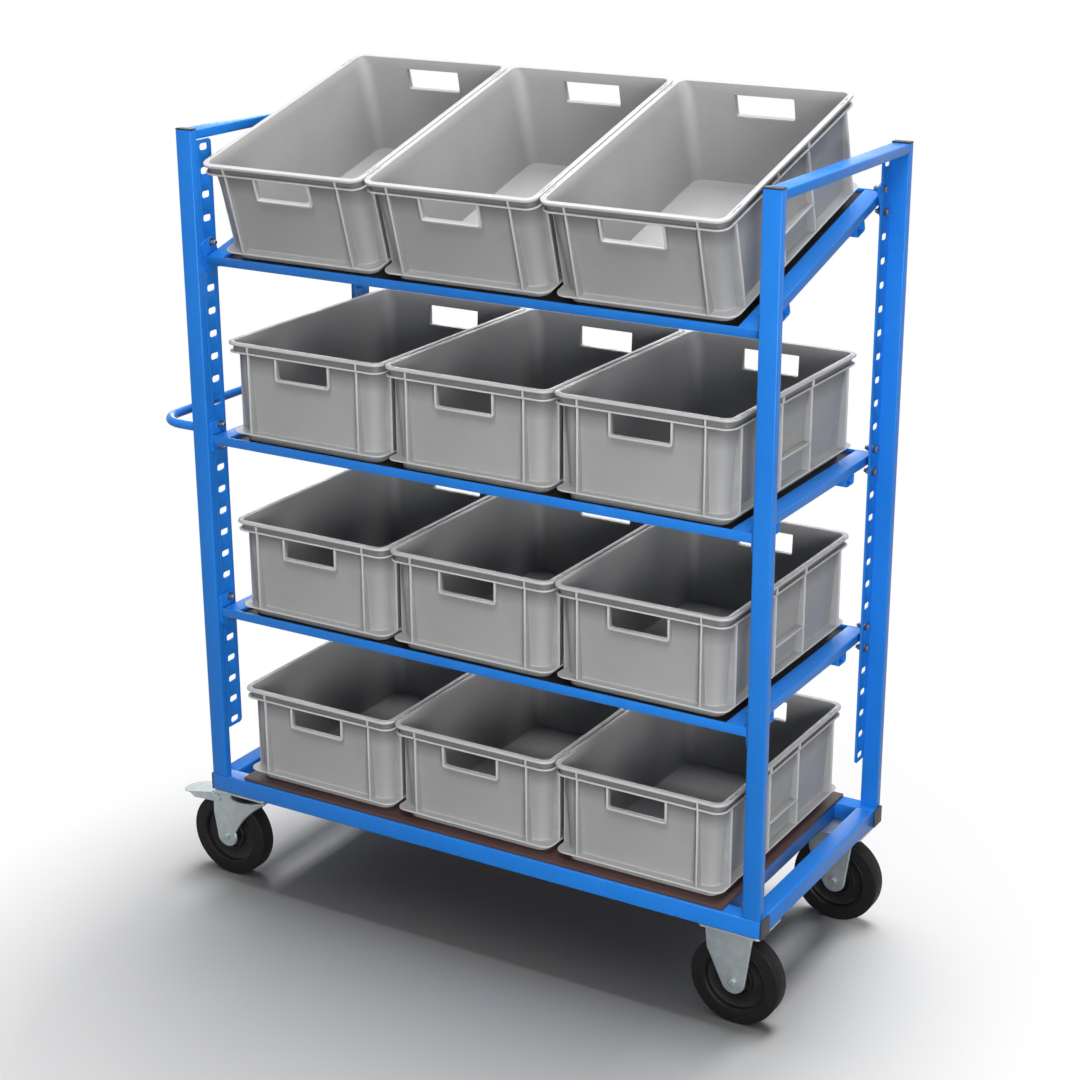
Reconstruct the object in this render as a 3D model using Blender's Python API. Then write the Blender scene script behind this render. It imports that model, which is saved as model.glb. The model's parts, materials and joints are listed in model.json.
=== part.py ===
"""Order picking trolley with four levels of stacking containers.

A welded base of square tube on two swivel and two fixed castors carries four flat uprights.
Perforated strips on the uprights hold two level shelves and one tilted top shelf. Twelve
containers stand on the deck and the shelves. Metres, +Z up, front along -Y, floor at Z = 0.
"""
import math

import bmesh
import bpy
from mathutils import Matrix, Vector
from mathutils.geometry import delaunay_2d_cdt

# Fits and counts shared by every piece
GAP = 0.0003              # clearance left between pieces that touch
OVERRUN = 0.002           # how far cutting tools and fused pieces run into or past a wall
SIDES = (-1, 1)           # left and right, front and rear, lower and upper
CORNER_STEPS = 2          # facets in a rounded corner
WHEEL_STEPS = 20          # facets round a wheel; a multiple of 4 stands it on a facet
TURN_STEPS = 12           # facets round smaller turned pieces
HANDLE_STEPS = 8          # facets round the push handle
BEND_STEPS = 4            # facets along the push handle's bends
FLAT_ANGLE = math.radians(0.2)   # faces that meet flatter than this become one
WELD = 0.0000001          # points of an outline nearer than this are one
INSIDE_OUTLINE = 1        # kind of fill that stays inside the outline

# Frame
BASE_TUBE = 0.040         # square tube of the base
UPRIGHT_WIDTH = 0.040     # flat tube of the uprights and top rails, wide side
UPRIGHT_DEPTH = 0.020     # flat tube of the uprights and top rails, narrow side
TUBE_WALL = 0.002         # wall of all square and flat tubes
TUBE_RADIUS = 0.003       # outer corner radius of all square and flat tubes
BAR_SETBACK = 0.005       # end of the deck to the outer face of the bar under it

# Plastic tube caps
CAP_THICK = 0.005
CAP_RADIUS = 0.006
TOP_CAP_THICK = 0.003
PLUG_DEPTH = 0.016
PLUG_CLEARANCE = 0.0004

# Deck board
DECK_ROOM = 0.004         # containers' rims to the deck's edges, all round
DECK_THICK = 0.008

# Perforated strips
STRIP_WIDTH = 0.045
STRIP_THICK = 0.003
STRIP_RADIUS = 0.009
STRIP_DROP = 0.002        # strip top below the top rail
STRIP_RISE = 0.116        # top of the base to the strips
HOLE_COUNT = 27
HOLE_SPACING = 0.050
HOLE_MARGIN = 0.015       # end of the strip to the first hole's centre
HOLE_WIDTH = 0.026
HOLE_HEIGHT = 0.014
HOLE_RADIUS = 0.0045
HOLE_SETBACK = 0.0205     # welded edge of the strip to the holes' centre line

# Push handle
HANDLE_TUBE = 0.020       # outside diameter
HANDLE_WALL = 0.002
HANDLE_REACH = 0.1025     # outer face of the uprights to the grip's centre line
HANDLE_BEND = 0.062
HANDLE_HEIGHT = 1.0945

# Shelves: name, then the upper hole of the bolt pair, front and rear, counted from the top
SHELVES = (("lower", 21, 21), ("upper", 13, 13), ("top", 5, 2))
SHELF_END_ROOM = 0.002    # containers' rims to the front and rear faces of the shelf
SHELF_SIDE_ROOM = 0.021   # foot of the outer containers to the side rails
SHELF_SETBACK = 0.007     # front and rear faces of the frame to those of the shelf
SHELF_RISE = 0.007        # rails above the board's top
RAIL_HEIGHT = 0.020
RAIL_THICK = 0.004
LEDGE_WIDTH = 0.030       # inward leg of the front and rear rails
LEDGE_THICK = 0.003
SIDE_RAIL_WIDTH = 0.040
RAIL_OVERHANG = 0.0057    # front and rear rails past the side rails, at each end
EAR_THICK = 0.0055
EAR_HEIGHT = 0.070
EAR_WIDTH = 0.045
EAR_RADIUS = 0.008
BOLT_OFFSET = 0.0028      # bolts to the middle of the strips' holes, outwards
STIFFENER_WIDTH = 0.040
STIFFENER_HEIGHT = 0.023
STIFFENER_RADIUS = 0.005
STIFFENER_OFFSET = 0.180  # middle of the shelf to a stiffener's centre line

# Containers
BIN_WIDTH = 0.400
BIN_LENGTH = 0.600
BIN_HEIGHT = 0.220
BIN_SPACING = 0.003       # between the rims of neighbours
BIN_RADIUS = 0.028        # rim corner, in plan
BIN_SLIP = 0.0026         # containers on the tilted shelf lie this far forward
WALL_THICK = 0.0025
FLOOR_THICK = 0.004
FOOT_HEIGHT = 0.019
FOOT_INSET = 0.022
FOOT_TAPER = 0.002
SKIRT_THICK = 0.0035      # flange round the bottom
SKIRT_INSET = 0.004
WALL_INSET_LOW = 0.024
WALL_INSET_HIGH = 0.013
COLLAR_THICK = 0.008      # flange under the rim
COLLAR_INSET = 0.002
BAND_HEIGHT = 0.010       # groove between the collar and the lip
BAND_INSET = 0.008
LIP_THICK = 0.005
LIP_WIDTH = 0.0095
RIB_THICK = 0.0035
RIB_INSET = 0.0035        # rim to the ribs' outer edges
END_RIB_INSET = 0.060     # corner of the rim to the ribs of a short side
CORNER_RIB_INSET = 0.050  # corner of the rim to the outer ribs of a long side
SIDE_RIB_OFFSET = 0.070   # middle of a long side to its inner ribs
CROSS_RIB_HEIGHT = 0.082
HOLD_WIDTH = 0.140        # frame round the hand hold
HOLD_DEPTH = 0.0495       # collar to the frame's lower edge
HOLD_FRAME = 0.004        # the opening fills the frame's inside

# Castors
WHEEL_RADIUS = 0.100
TREAD_WIDTH = 0.040
SHOULDER = 0.007
TYRE_DEPTH = 0.026        # tread to the inner edge of the rubber
RIM_STEP = 0.004
WEB_THICK = 0.020
HUB_RADIUS = 0.021
AXLE_RADIUS = 0.006
AXLE_PLAY = 0.0004        # axle in the fork's holes
WHEEL_PLAY = 0.0007       # axle in the wheel's bore
AXLE_HEAD_RADIUS = 0.0095
AXLE_HEAD_THICK = 0.005
WHEEL_ROOM = 0.0054       # wheel to the crown over it
PLATE_LENGTH = 0.140
PLATE_WIDTH = 0.110
PLATE_THICK = 0.005
PLATE_RADIUS = 0.010
PLATE_INSET = 0.001       # outer side of the base to the plate's edge
RACE_RADIUS = 0.038
RACE_HEIGHT = 0.007
CROWN_RADIUS = 0.055
CROWN_THICK = 0.005
CROWN_NECK_RADIUS = 0.030
CROWN_NECK = 0.007
LEG_THICK = 0.004
LEG_TIP_RADIUS = 0.029
LEG_SPREAD = 0.048        # between the inner faces of the legs
TRAIL = 0.063             # swivel axis to the axle
LEG_SHOULDER_REACH = 0.036   # axle to the swivel leg's outer edge
LEG_SHOULDER_HEIGHT = 0.053  # axle to the top of that edge
LEG_TOP_REACH = 0.034     # axle to the leg's top corner on the pedal's side
FIXED_TOP_REACH = 0.068   # axle to the fixed leg's inner top corner
FIXED_BEND_REACH = 0.062
FIXED_BEND_HEIGHT = 0.066
FIXED_OUTER_REACH = 0.045

# Brake pedal of a swivel castor
PEDAL_PIVOT_REACH = 0.022    # axle to the pedal's pivot, away from the swivel axis
PEDAL_PIVOT_DROP = 0.0124    # underside of the crown to the pedal's pivot
PEDAL_LENGTH = 0.112         # pivot to the tip
PEDAL_SHEET = 0.0025
PEDAL_LUG_RADIUS = 0.009
PEDAL_CHEEK_DEPTH = 0.016
PEDAL_TREAD_RISE = 0.012     # pivot to the tread's top
PEDAL_TREAD_START = 0.014
PEDAL_TIP_DROP = 0.020

# Colours as linear red, green and blue, then roughness and metallic
LOOKS = {
    "paint_blue": ((0.028, 0.191, 0.658), 0.38, 0.0),
    "plastic_grey": ((0.347, 0.347, 0.347), 0.5, 0.0),
    "plastic_dark": ((0.048, 0.048, 0.048), 0.5, 0.0),
    "plastic_black": ((0.02, 0.02, 0.02), 0.5, 0.0),
    "board_brown": ((0.07, 0.038, 0.036), 0.45, 0.0),
    "board_black": ((0.012, 0.01, 0.01), 0.5, 0.0),
    "zinc": ((0.36, 0.4, 0.4), 0.4, 0.9),
    "rubber": ((0.017, 0.017, 0.017), 0.6, 0.0),
}

ALONG_X = Matrix(((0, 0, 1, 0), (1, 0, 0, 0), (0, 1, 0, 0), (0, 0, 0, 1)))
ALONG_Y = Matrix(((0, 1, 0, 0), (0, 0, 1, 0), (1, 0, 0, 0), (0, 0, 0, 1)))

# Sizes worked out from the containers to the frame round them
LIP_BOTTOM = BIN_HEIGHT - LIP_THICK
COLLAR_TOP = LIP_BOTTOM - BAND_HEIGHT
COLLAR_BOTTOM = COLLAR_TOP - COLLAR_THICK
SKIRT_TOP = FOOT_HEIGHT + SKIRT_THICK
WALL_CORNER = CORNER_RIB_INSET - RIB_THICK / 2   # sides of the rim to the walls' corner arcs' centres
BIN_PITCH = BIN_WIDTH + BIN_SPACING
ROW_REACH = BIN_PITCH + BIN_WIDTH / 2
DECK_LENGTH = (ROW_REACH + DECK_ROOM) * 2
DECK_DEPTH = BIN_LENGTH + DECK_ROOM * 2
CROSS_BAR_REACH = DECK_LENGTH / 2 - BAR_SETBACK
SIDE_RAIL_REACH = ROW_REACH - FOOT_INSET + SHELF_SIDE_ROOM + SIDE_RAIL_WIDTH
SHELF_LENGTH = (SIDE_RAIL_REACH + RAIL_OVERHANG) * 2
SHELF_DEPTH = BIN_LENGTH + SHELF_END_ROOM * 2
EAR_OUTER = SHELF_LENGTH / 2 + EAR_THICK
STRIP_FACE = EAR_OUTER + GAP
HALF_LENGTH = STRIP_FACE + UPRIGHT_WIDTH
FRAME_LENGTH = HALF_LENGTH * 2
FRAME_DEPTH = SHELF_DEPTH + SHELF_SETBACK * 2
HALF_DEPTH = FRAME_DEPTH / 2
STRIP_EDGE = HALF_DEPTH - UPRIGHT_DEPTH - GAP
HOLE_LINE = STRIP_EDGE - HOLE_SETBACK
BOLT_REACH = HOLE_LINE + BOLT_OFFSET

# Heights, worked out from the wheels up, and the castors' places
CROWN_UNDER = WHEEL_RADIUS * 2 + WHEEL_ROOM
CROWN_TOP = CROWN_UNDER + CROWN_THICK + CROWN_NECK
PLATE_UNDER = CROWN_TOP + GAP + RACE_HEIGHT
PLATE_TOP = PLATE_UNDER + PLATE_THICK
PEDAL_PIVOT_HEIGHT = CROWN_UNDER - WHEEL_RADIUS - PEDAL_PIVOT_DROP
BASE_HEIGHT = PLATE_TOP + GAP
BASE_TOP = BASE_HEIGHT + BASE_TUBE
DECK_TOP = BASE_TOP + GAP + DECK_THICK
STRIP_LENGTH = HOLE_SPACING * (HOLE_COUNT - 1) + HOLE_MARGIN * 2
STRIP_TOP = BASE_TOP + STRIP_RISE + STRIP_LENGTH
FRAME_TOP = STRIP_TOP + STRIP_DROP + UPRIGHT_DEPTH
CASTOR_X = HALF_LENGTH - PLATE_LENGTH / 2
CASTOR_Y = HALF_DEPTH - PLATE_INSET - PLATE_WIDTH / 2
PEDAL_TIP = CASTOR_X + TRAIL + PEDAL_PIVOT_REACH + PEDAL_LENGTH
WHEEL_EDGE = CASTOR_X + WHEEL_RADIUS


def clear_scene():
    """Empty the scene without closing the file."""
    for obj in list(bpy.data.objects):
        bpy.data.objects.remove(obj, do_unlink=True)


def make_materials():
    """One Principled material per finish."""
    made = {}
    for name, (colour, roughness, metallic) in LOOKS.items():
        mat = bpy.data.materials.new(name)
        mat.use_nodes = True
        shader = mat.node_tree.nodes["Principled BSDF"]
        shader.inputs["Base Color"].default_value = (*colour, 1)
        shader.inputs["Roughness"].default_value = roughness
        shader.inputs["Metallic"].default_value = metallic
        mat.diffuse_color = (*colour, 1)
        made[name] = mat
    return made


def to_mesh(bm, name):
    """Turn a bmesh into a mesh with its faces pointing out."""
    bmesh.ops.recalc_face_normals(bm, faces=bm.faces)
    mesh = bpy.data.meshes.new(name)
    bm.to_mesh(mesh)
    bm.free()
    return mesh


def add_node(name, mesh, mat, parent, place=(0, 0, 0), smooth=False):
    """Add one named piece with its own copy of the finish."""
    obj = bpy.data.objects.new(name, mesh)
    bpy.context.scene.collection.objects.link(obj)
    obj.parent = parent
    obj.location = place
    if not mesh.materials:
        mesh.materials.append(mat)
    if smooth:
        mesh.shade_smooth()
        mesh.set_sharp_from_angle(angle=math.radians(35))
    return obj


def add_empty(name, parent, place, tilt=0.0):
    """Add a guide point that pieces hang from."""
    empty = bpy.data.objects.new(name, None)
    bpy.context.scene.collection.objects.link(empty)
    empty.parent = parent
    empty.location = place
    empty.rotation_euler = (tilt, 0, 0)
    return empty


def circle_points(radius, steps, centre=(0, 0), flat=False):
    """Points round a circle. With flat, the facets' middles lie on the radius."""
    reach = radius / math.cos(math.pi / steps) if flat else radius
    shift = 0.5 if flat else 0
    turns = [math.tau * (i + shift) / steps for i in range(steps)]
    return [(centre[0] + reach * math.cos(a), centre[1] + reach * math.sin(a)) for a in turns]


def rounded_rect(width, height, radius, steps=CORNER_STEPS, centre=(0, 0)):
    """Outline of a rectangle with rounded corners, counter-clockwise."""
    points = []
    for quarter, (sx, sy) in enumerate(((1, 1), (-1, 1), (-1, -1), (1, -1))):
        cx = centre[0] + sx * (width / 2 - radius)
        cy = centre[1] + sy * (height / 2 - radius)
        for i in range(steps + 1):
            a = math.pi / 2 * (quarter + i / steps)
            points.append((cx + radius * math.cos(a), cy + radius * math.sin(a)))
    return points


def hull_outline(points):
    """Smallest convex outline round the points."""
    ordered = sorted(set(points))

    def half(run):
        kept = []
        for x, y in run:
            while len(kept) > 1:
                (ax, ay), (bx, by) = kept[-2], kept[-1]
                if (bx - ax) * (y - ay) - (by - ay) * (x - ax) > 0:
                    break
                kept.pop()
            kept.append((x, y))
        return kept[:-1]

    return half(ordered) + half(reversed(ordered))


def prism(outline, low, high, holes=(), turn=Matrix()):
    """Extrude an outline with holes from low to high, then turn it."""
    points, edges, owners = [], [], []
    for number, loop in enumerate((outline, *holes)):
        ring = range(len(points), len(points) + len(loop))
        edges += zip(ring, (*ring[1:], ring[0]))
        points += [Vector(point) for point in loop]
        owners += [number] * len(loop)
    bm = bmesh.new()
    verts = [bm.verts.new((x, y, low)) for x, y in points]
    faces = [range(len(points))]
    if holes:
        faces = delaunay_2d_cdt(points, edges, [], INSIDE_OUTLINE, WELD)[2]
    for face in faces:
        loops = {owners[i] for i in face}
        # A face with all its points on one hole would fill that hole
        if len(loops) > 1 or 0 in loops:
            bm.faces.new([verts[i] for i in face])
    grown = bmesh.ops.extrude_face_region(bm, geom=list(bm.faces))["geom"]
    moved = [v for v in grown if isinstance(v, bmesh.types.BMVert)]
    bmesh.ops.translate(bm, verts=moved, vec=(0, 0, high - low))
    bmesh.ops.transform(bm, matrix=turn, verts=bm.verts)
    return to_mesh(bm, "prism")


def box(low, high):
    """A plain block between two corners."""
    bm = bmesh.new()
    bmesh.ops.create_cube(bm, size=1)
    size = Vector(high) - Vector(low)
    middle = (Vector(high) + Vector(low)) / 2
    bmesh.ops.transform(bm, matrix=Matrix.Translation(middle) @ Matrix.Diagonal((*size, 1)), verts=bm.verts)
    return to_mesh(bm, "box")


def loft(rings, closed=False):
    """Skin a run of rings of equal point counts. Closed joins the last ring to the first."""
    bm = bmesh.new()
    rows = [[bm.verts.new(p) for p in ring] for ring in rings]
    pairs = list(zip(rows, rows[1:]))
    if closed:
        pairs.append((rows[-1], rows[0]))
    else:
        bm.faces.new(rows[0])
        bm.faces.new(rows[-1])
    for a, b in pairs:
        for i in range(len(a)):
            bm.faces.new((a[i - 1], a[i], b[i], b[i - 1]))
    return to_mesh(bm, "loft")


def turned(profile, steps, turn=Matrix(), flat=False):
    """Revolve (radius, height) points about Z, then turn the piece. The profile is a closed loop."""
    rings = []
    for radius, height in profile:
        rings.append([turn @ Vector((x, y, height)) for x, y in circle_points(radius, steps, flat=flat)])
    return loft(rings, closed=True)


def spindle(profile, steps, turn=Matrix()):
    """Revolve (radius, height) points about Z with flat ends."""
    rings = []
    for radius, height in profile:
        rings.append([turn @ Vector((x, y, height)) for x, y in circle_points(radius, steps)])
    return loft(rings)


def shifted(mesh, offset):
    """Move a mesh within its own frame."""
    mesh.transform(Matrix.Translation(offset))
    return mesh


def fuse(base, additions=(), cuts=()):
    """Unite meshes with the base, then cut openings, and return the result as one mesh."""
    holder = bpy.data.objects.new("fuse", base)
    bpy.context.scene.collection.objects.link(holder)
    tools = []
    for kind, meshes in (("UNION", additions), ("DIFFERENCE", cuts)):
        for mesh in meshes:
            tool = bpy.data.objects.new("tool", mesh)
            bpy.context.scene.collection.objects.link(tool)
            tools.append(tool)
            step = holder.modifiers.new("step", "BOOLEAN")
            step.operation = kind
            step.solver = "EXACT"
            step.object = tool
    view = bpy.context.evaluated_depsgraph_get()
    result = bpy.data.meshes.new_from_object(holder.evaluated_get(view))
    for obj in (holder, *tools):
        bpy.data.objects.remove(obj, do_unlink=True)
    result.materials.clear()
    return flattened(result)


def flattened(mesh):
    """Join faces that lie in one plane and drop points in the middle of straight edges."""
    bm = bmesh.new()
    bm.from_mesh(mesh)
    bmesh.ops.dissolve_limit(bm, angle_limit=FLAT_ANGLE, verts=bm.verts, edges=bm.edges)
    bm.to_mesh(mesh)
    bm.free()
    return mesh


def tube(width, height, length, turn, radius=TUBE_RADIUS, wall=TUBE_WALL):
    """Open-ended flat or square tube, centred on its length."""
    bore = rounded_rect(width - wall * 2, height - wall * 2, radius / 2, steps=1)
    return prism(rounded_rect(width, height, radius, 1), -length / 2, length / 2, [bore], turn)


def plug_cap(width, height, thick, radius, turn):
    """Plastic cap: a head outside the tube's end and a plug inside, head along +Z."""
    plug_w = width - TUBE_WALL * 2 - PLUG_CLEARANCE * 2
    plug_h = height - TUBE_WALL * 2 - PLUG_CLEARANCE * 2
    plug = rounded_rect(plug_w, plug_h, TUBE_RADIUS, steps=1)
    head = rounded_rect(width, height, radius, steps=1)
    levels = ((plug, -PLUG_DEPTH), (plug, GAP), (head, GAP), (head, GAP + thick))
    return loft([[turn @ Vector((x, y, z)) for x, y in ring] for ring, z in levels])


def build_base(root, looks):
    """Long tubes with end caps, end rails, bars under the deck's ends, and the deck."""
    row_y = HALF_DEPTH - BASE_TUBE / 2
    row_z = BASE_HEIGHT + BASE_TUBE / 2
    long_tube = tube(BASE_TUBE, BASE_TUBE, FRAME_LENGTH, ALONG_X)
    short_tube = tube(BASE_TUBE, BASE_TUBE, FRAME_DEPTH - (BASE_TUBE + GAP) * 2, ALONG_Y)
    for side, name in zip(SIDES, ("front", "rear")):
        add_node("base_tube_" + name, long_tube, looks["paint_blue"], root, (0, side * row_y, row_z))
        for end, hand in zip(SIDES, ("left", "right")):
            face = Matrix.Scale(end, 4, (1, 0, 0)) @ ALONG_X
            cap = plug_cap(BASE_TUBE, BASE_TUBE, CAP_THICK, CAP_RADIUS, face)
            place = (end * HALF_LENGTH, side * row_y, row_z)
            add_node("base_cap_" + name + "_" + hand, cap, looks["plastic_dark"], root, place)
    for end, hand in zip(SIDES, ("left", "right")):
        rail_x = HALF_LENGTH - UPRIGHT_WIDTH / 2
        add_node("end_rail_" + hand, short_tube, looks["paint_blue"], root, (end * rail_x, 0, row_z))
        bar_x = CROSS_BAR_REACH - BASE_TUBE / 2
        add_node("cross_bar_" + hand, short_tube, looks["paint_blue"], root, (end * bar_x, 0, row_z))
    outline = rounded_rect(DECK_LENGTH, DECK_DEPTH, TUBE_RADIUS, steps=1)
    add_node("deck", prism(outline, BASE_TOP + GAP, DECK_TOP), looks["board_brown"], root)


def build_uprights(root, looks):
    """Four flat uprights with caps, perforated strips, and the rails that tie their tops."""
    length = FRAME_TOP - BASE_TOP - GAP
    upright = tube(UPRIGHT_WIDTH, UPRIGHT_DEPTH, length, Matrix())
    cap = plug_cap(UPRIGHT_WIDTH, UPRIGHT_DEPTH, TOP_CAP_THICK, TUBE_RADIUS, Matrix())
    span = FRAME_DEPTH - (UPRIGHT_DEPTH + GAP) * 2
    rail = tube(UPRIGHT_DEPTH, UPRIGHT_WIDTH, span, ALONG_Y)
    x = HALF_LENGTH - UPRIGHT_WIDTH / 2
    y = HALF_DEPTH - UPRIGHT_DEPTH / 2
    for end, hand in zip(SIDES, ("left", "right")):
        for side, row in zip(SIDES, ("front", "rear")):
            tag = row + "_" + hand
            middle_z = FRAME_TOP - length / 2
            add_node("upright_" + tag, upright, looks["paint_blue"], root, (end * x, side * y, middle_z))
            add_node("upright_cap_" + tag, cap, looks["plastic_black"], root, (end * x, side * y, FRAME_TOP))
            add_node("strip_" + tag, strip_mesh(end, side), looks["paint_blue"], root)
        rail_z = FRAME_TOP - UPRIGHT_DEPTH / 2
        add_node("top_rail_" + hand, rail, looks["paint_blue"], root, (end * x, 0, rail_z))


def strip_mesh(end, side):
    """Perforated strip, flush with the upright's inner face and welded along its edge."""
    edge = side * STRIP_EDGE
    free = edge - side * STRIP_WIDTH
    bottom = STRIP_TOP - STRIP_LENGTH
    corners = []
    for z, inward in ((bottom, 1), (STRIP_TOP, -1)):
        corners.append([(free, z + inward * STRIP_RADIUS), (free + side * STRIP_RADIUS, z)])
    low, high = corners
    outline = [(edge, bottom), (edge, STRIP_TOP), high[1], high[0], low[0], low[1]]
    holes = []
    for i in range(HOLE_COUNT):
        centre = (side * HOLE_LINE, hole_height(i + 1))
        holes.append(rounded_rect(HOLE_WIDTH, HOLE_HEIGHT, HOLE_RADIUS, 1, centre))
    near, far = end * STRIP_FACE, end * (STRIP_FACE + STRIP_THICK)
    return prism(outline, min(near, far), max(near, far), holes, ALONG_X)


def hole_height(number):
    """Height of a strip hole, counted from the top."""
    return STRIP_TOP - HOLE_MARGIN - HOLE_SPACING * (number - 1)


def shelf_place(front_hole, rear_hole):
    """Height of the shelf's middle and its tilt, from the holes that its bolts use."""
    front = hole_height(front_hole) - HOLE_SPACING / 2
    rear = hole_height(rear_hole) - HOLE_SPACING / 2
    return (front + rear) / 2, math.asin((rear - front) / (BOLT_REACH * 2))


def shelf_frame_mesh():
    """Welded shelf: angle rails, flat side rails, two stiffener tubes and four ears."""
    rail_low = SHELF_RISE - RAIL_HEIGHT
    half_x = SHELF_LENGTH / 2
    half_y = SHELF_DEPTH / 2
    pieces = []
    for side in SIDES:
        section = [
            (side * half_y, SHELF_RISE), (side * half_y, rail_low),
            (side * (half_y - LEDGE_WIDTH), rail_low),
            (side * (half_y - LEDGE_WIDTH), rail_low + LEDGE_THICK),
            (side * (half_y - RAIL_THICK), rail_low + LEDGE_THICK),
            (side * (half_y - RAIL_THICK), SHELF_RISE)]
        pieces.append(prism(section, -half_x, half_x, turn=ALONG_X))
    for end in SIDES:
        inner = end * (SIDE_RAIL_REACH - SIDE_RAIL_WIDTH)
        outer = end * SIDE_RAIL_REACH
        reach = half_y - RAIL_THICK / 2
        pieces.append(box((min(inner, outer), -reach, rail_low), (max(inner, outer), reach, SHELF_RISE)))
    top = rail_low + LEDGE_THICK
    for side in SIDES:
        centre = (side * STIFFENER_OFFSET, top - STIFFENER_HEIGHT / 2)
        outer = rounded_rect(STIFFENER_WIDTH, STIFFENER_HEIGHT, STIFFENER_RADIUS, 1, centre)
        inner_w = STIFFENER_WIDTH - TUBE_WALL * 2
        inner_h = STIFFENER_HEIGHT - TUBE_WALL * 2
        bore = rounded_rect(inner_w, inner_h, STIFFENER_RADIUS - TUBE_WALL, 1, centre)
        pieces.append(prism(outer, -SIDE_RAIL_REACH, SIDE_RAIL_REACH, [bore], ALONG_X))
    for end in SIDES:
        near = end * (half_x - OVERRUN)
        far = end * EAR_OUTER
        for side in SIDES:
            centre = (side * (half_y - EAR_WIDTH / 2), 0)
            ear = rounded_rect(EAR_WIDTH, EAR_HEIGHT, EAR_RADIUS, 1, centre)
            pieces.append(prism(ear, min(near, far), max(near, far), turn=ALONG_X))
    return fuse(pieces[0], pieces[1:])


def build_shelves(root, looks):
    """Three bolted shelves with their boards. Returns the guide point of each level."""
    frame = shelf_frame_mesh()
    side_gap = SIDE_RAIL_REACH - SIDE_RAIL_WIDTH - GAP
    end_gap = SHELF_DEPTH / 2 - RAIL_THICK - GAP
    under = SHELF_RISE - RAIL_HEIGHT + LEDGE_THICK + GAP
    board = box((-side_gap, -end_gap, under), (side_gap, end_gap, 0))
    levels = [("deck", add_empty("level_deck", root, (0, 0, DECK_TOP)))]
    for name, front_hole, rear_hole in SHELVES:
        height, tilt = shelf_place(front_hole, rear_hole)
        level = add_empty("level_" + name, root, (0, 0, height), tilt)
        add_node("shelf_frame_" + name, frame, looks["paint_blue"], level)
        add_node("shelf_board_" + name, board, looks["board_black"], level)
        levels.append((name, level))
    return levels


def bin_mesh():
    """Moulded container: foot, skirt, tapered walls, collar, groove, lip, ribs and hand holds."""
    inner_low = WALL_INSET_LOW + WALL_THICK
    inner_high = WALL_INSET_HIGH + WALL_THICK
    # Height, inset from the rim, and the inset of the corner arcs' centres
    levels = (
        (0, FOOT_INSET + FOOT_TAPER, WALL_CORNER), (FOOT_HEIGHT, FOOT_INSET, WALL_CORNER),
        (FOOT_HEIGHT, SKIRT_INSET, BIN_RADIUS), (SKIRT_TOP, SKIRT_INSET, BIN_RADIUS),
        (SKIRT_TOP, WALL_INSET_LOW, WALL_CORNER), (COLLAR_BOTTOM, WALL_INSET_HIGH, WALL_CORNER),
        (COLLAR_BOTTOM, COLLAR_INSET, BIN_RADIUS), (COLLAR_TOP, COLLAR_INSET, BIN_RADIUS),
        (COLLAR_TOP, BAND_INSET, BIN_RADIUS), (LIP_BOTTOM, BAND_INSET, BIN_RADIUS),
        (LIP_BOTTOM, 0, BIN_RADIUS), (BIN_HEIGHT, 0, BIN_RADIUS),
        (BIN_HEIGHT, LIP_WIDTH, BIN_RADIUS), (COLLAR_BOTTOM, inner_high, WALL_CORNER),
        (FLOOR_THICK, inner_low, WALL_CORNER))
    rings = []
    for height, inset, corner in levels:
        outline = rounded_rect(BIN_WIDTH - inset * 2, BIN_LENGTH - inset * 2, corner - inset)
        rings.append([(x, y, height) for x, y in outline])
    return fuse(loft(rings), bin_ribs(), bin_cuts())


def wall_middle(height):
    """Inset of the middle of the wall's thickness at a height."""
    rise = (height - SKIRT_TOP) / (COLLAR_BOTTOM - SKIRT_TOP)
    return WALL_INSET_LOW + (WALL_INSET_HIGH - WALL_INSET_LOW) * rise + WALL_THICK / 2


def bin_ribs():
    """Upright ribs on all four sides, a cross rib on the long sides, frames round the hand holds."""
    low = SKIRT_TOP - OVERRUN
    high = COLLAR_BOTTOM + OVERRUN
    half = RIB_THICK / 2
    ribs = []
    for side in SIDES:
        profile = rib_profile(side, BIN_LENGTH / 2, low, high)
        for end in SIDES:
            x = end * (BIN_WIDTH / 2 - END_RIB_INSET)
            ribs.append(prism([(y, z) for z, y in profile], x - half, x + half, turn=ALONG_X))
        ribs.append(hold_frame(side))
        profile = rib_profile(side, BIN_WIDTH / 2, low, high)
        for offset in (SIDE_RIB_OFFSET, BIN_LENGTH / 2 - CORNER_RIB_INSET):
            for y in (-offset, offset):
                ribs.append(prism(profile, y - half, y + half, turn=ALONG_Y))
        under, over = CROSS_RIB_HEIGHT - half, CROSS_RIB_HEIGHT + half
        rung = rib_profile(side, BIN_WIDTH / 2, under, over)
        ribs.append(prism(rung, -SIDE_RIB_OFFSET, SIDE_RIB_OFFSET, turn=ALONG_Y))
    return ribs


def rib_profile(side, reach, low, high):
    """Outline of a rib in height and reach, from its outer edge to the middle of the wall."""
    outer = side * (reach - RIB_INSET)
    return [
        (low, outer), (high, outer),
        (high, side * (reach - wall_middle(high))), (low, side * (reach - wall_middle(low)))]


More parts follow.
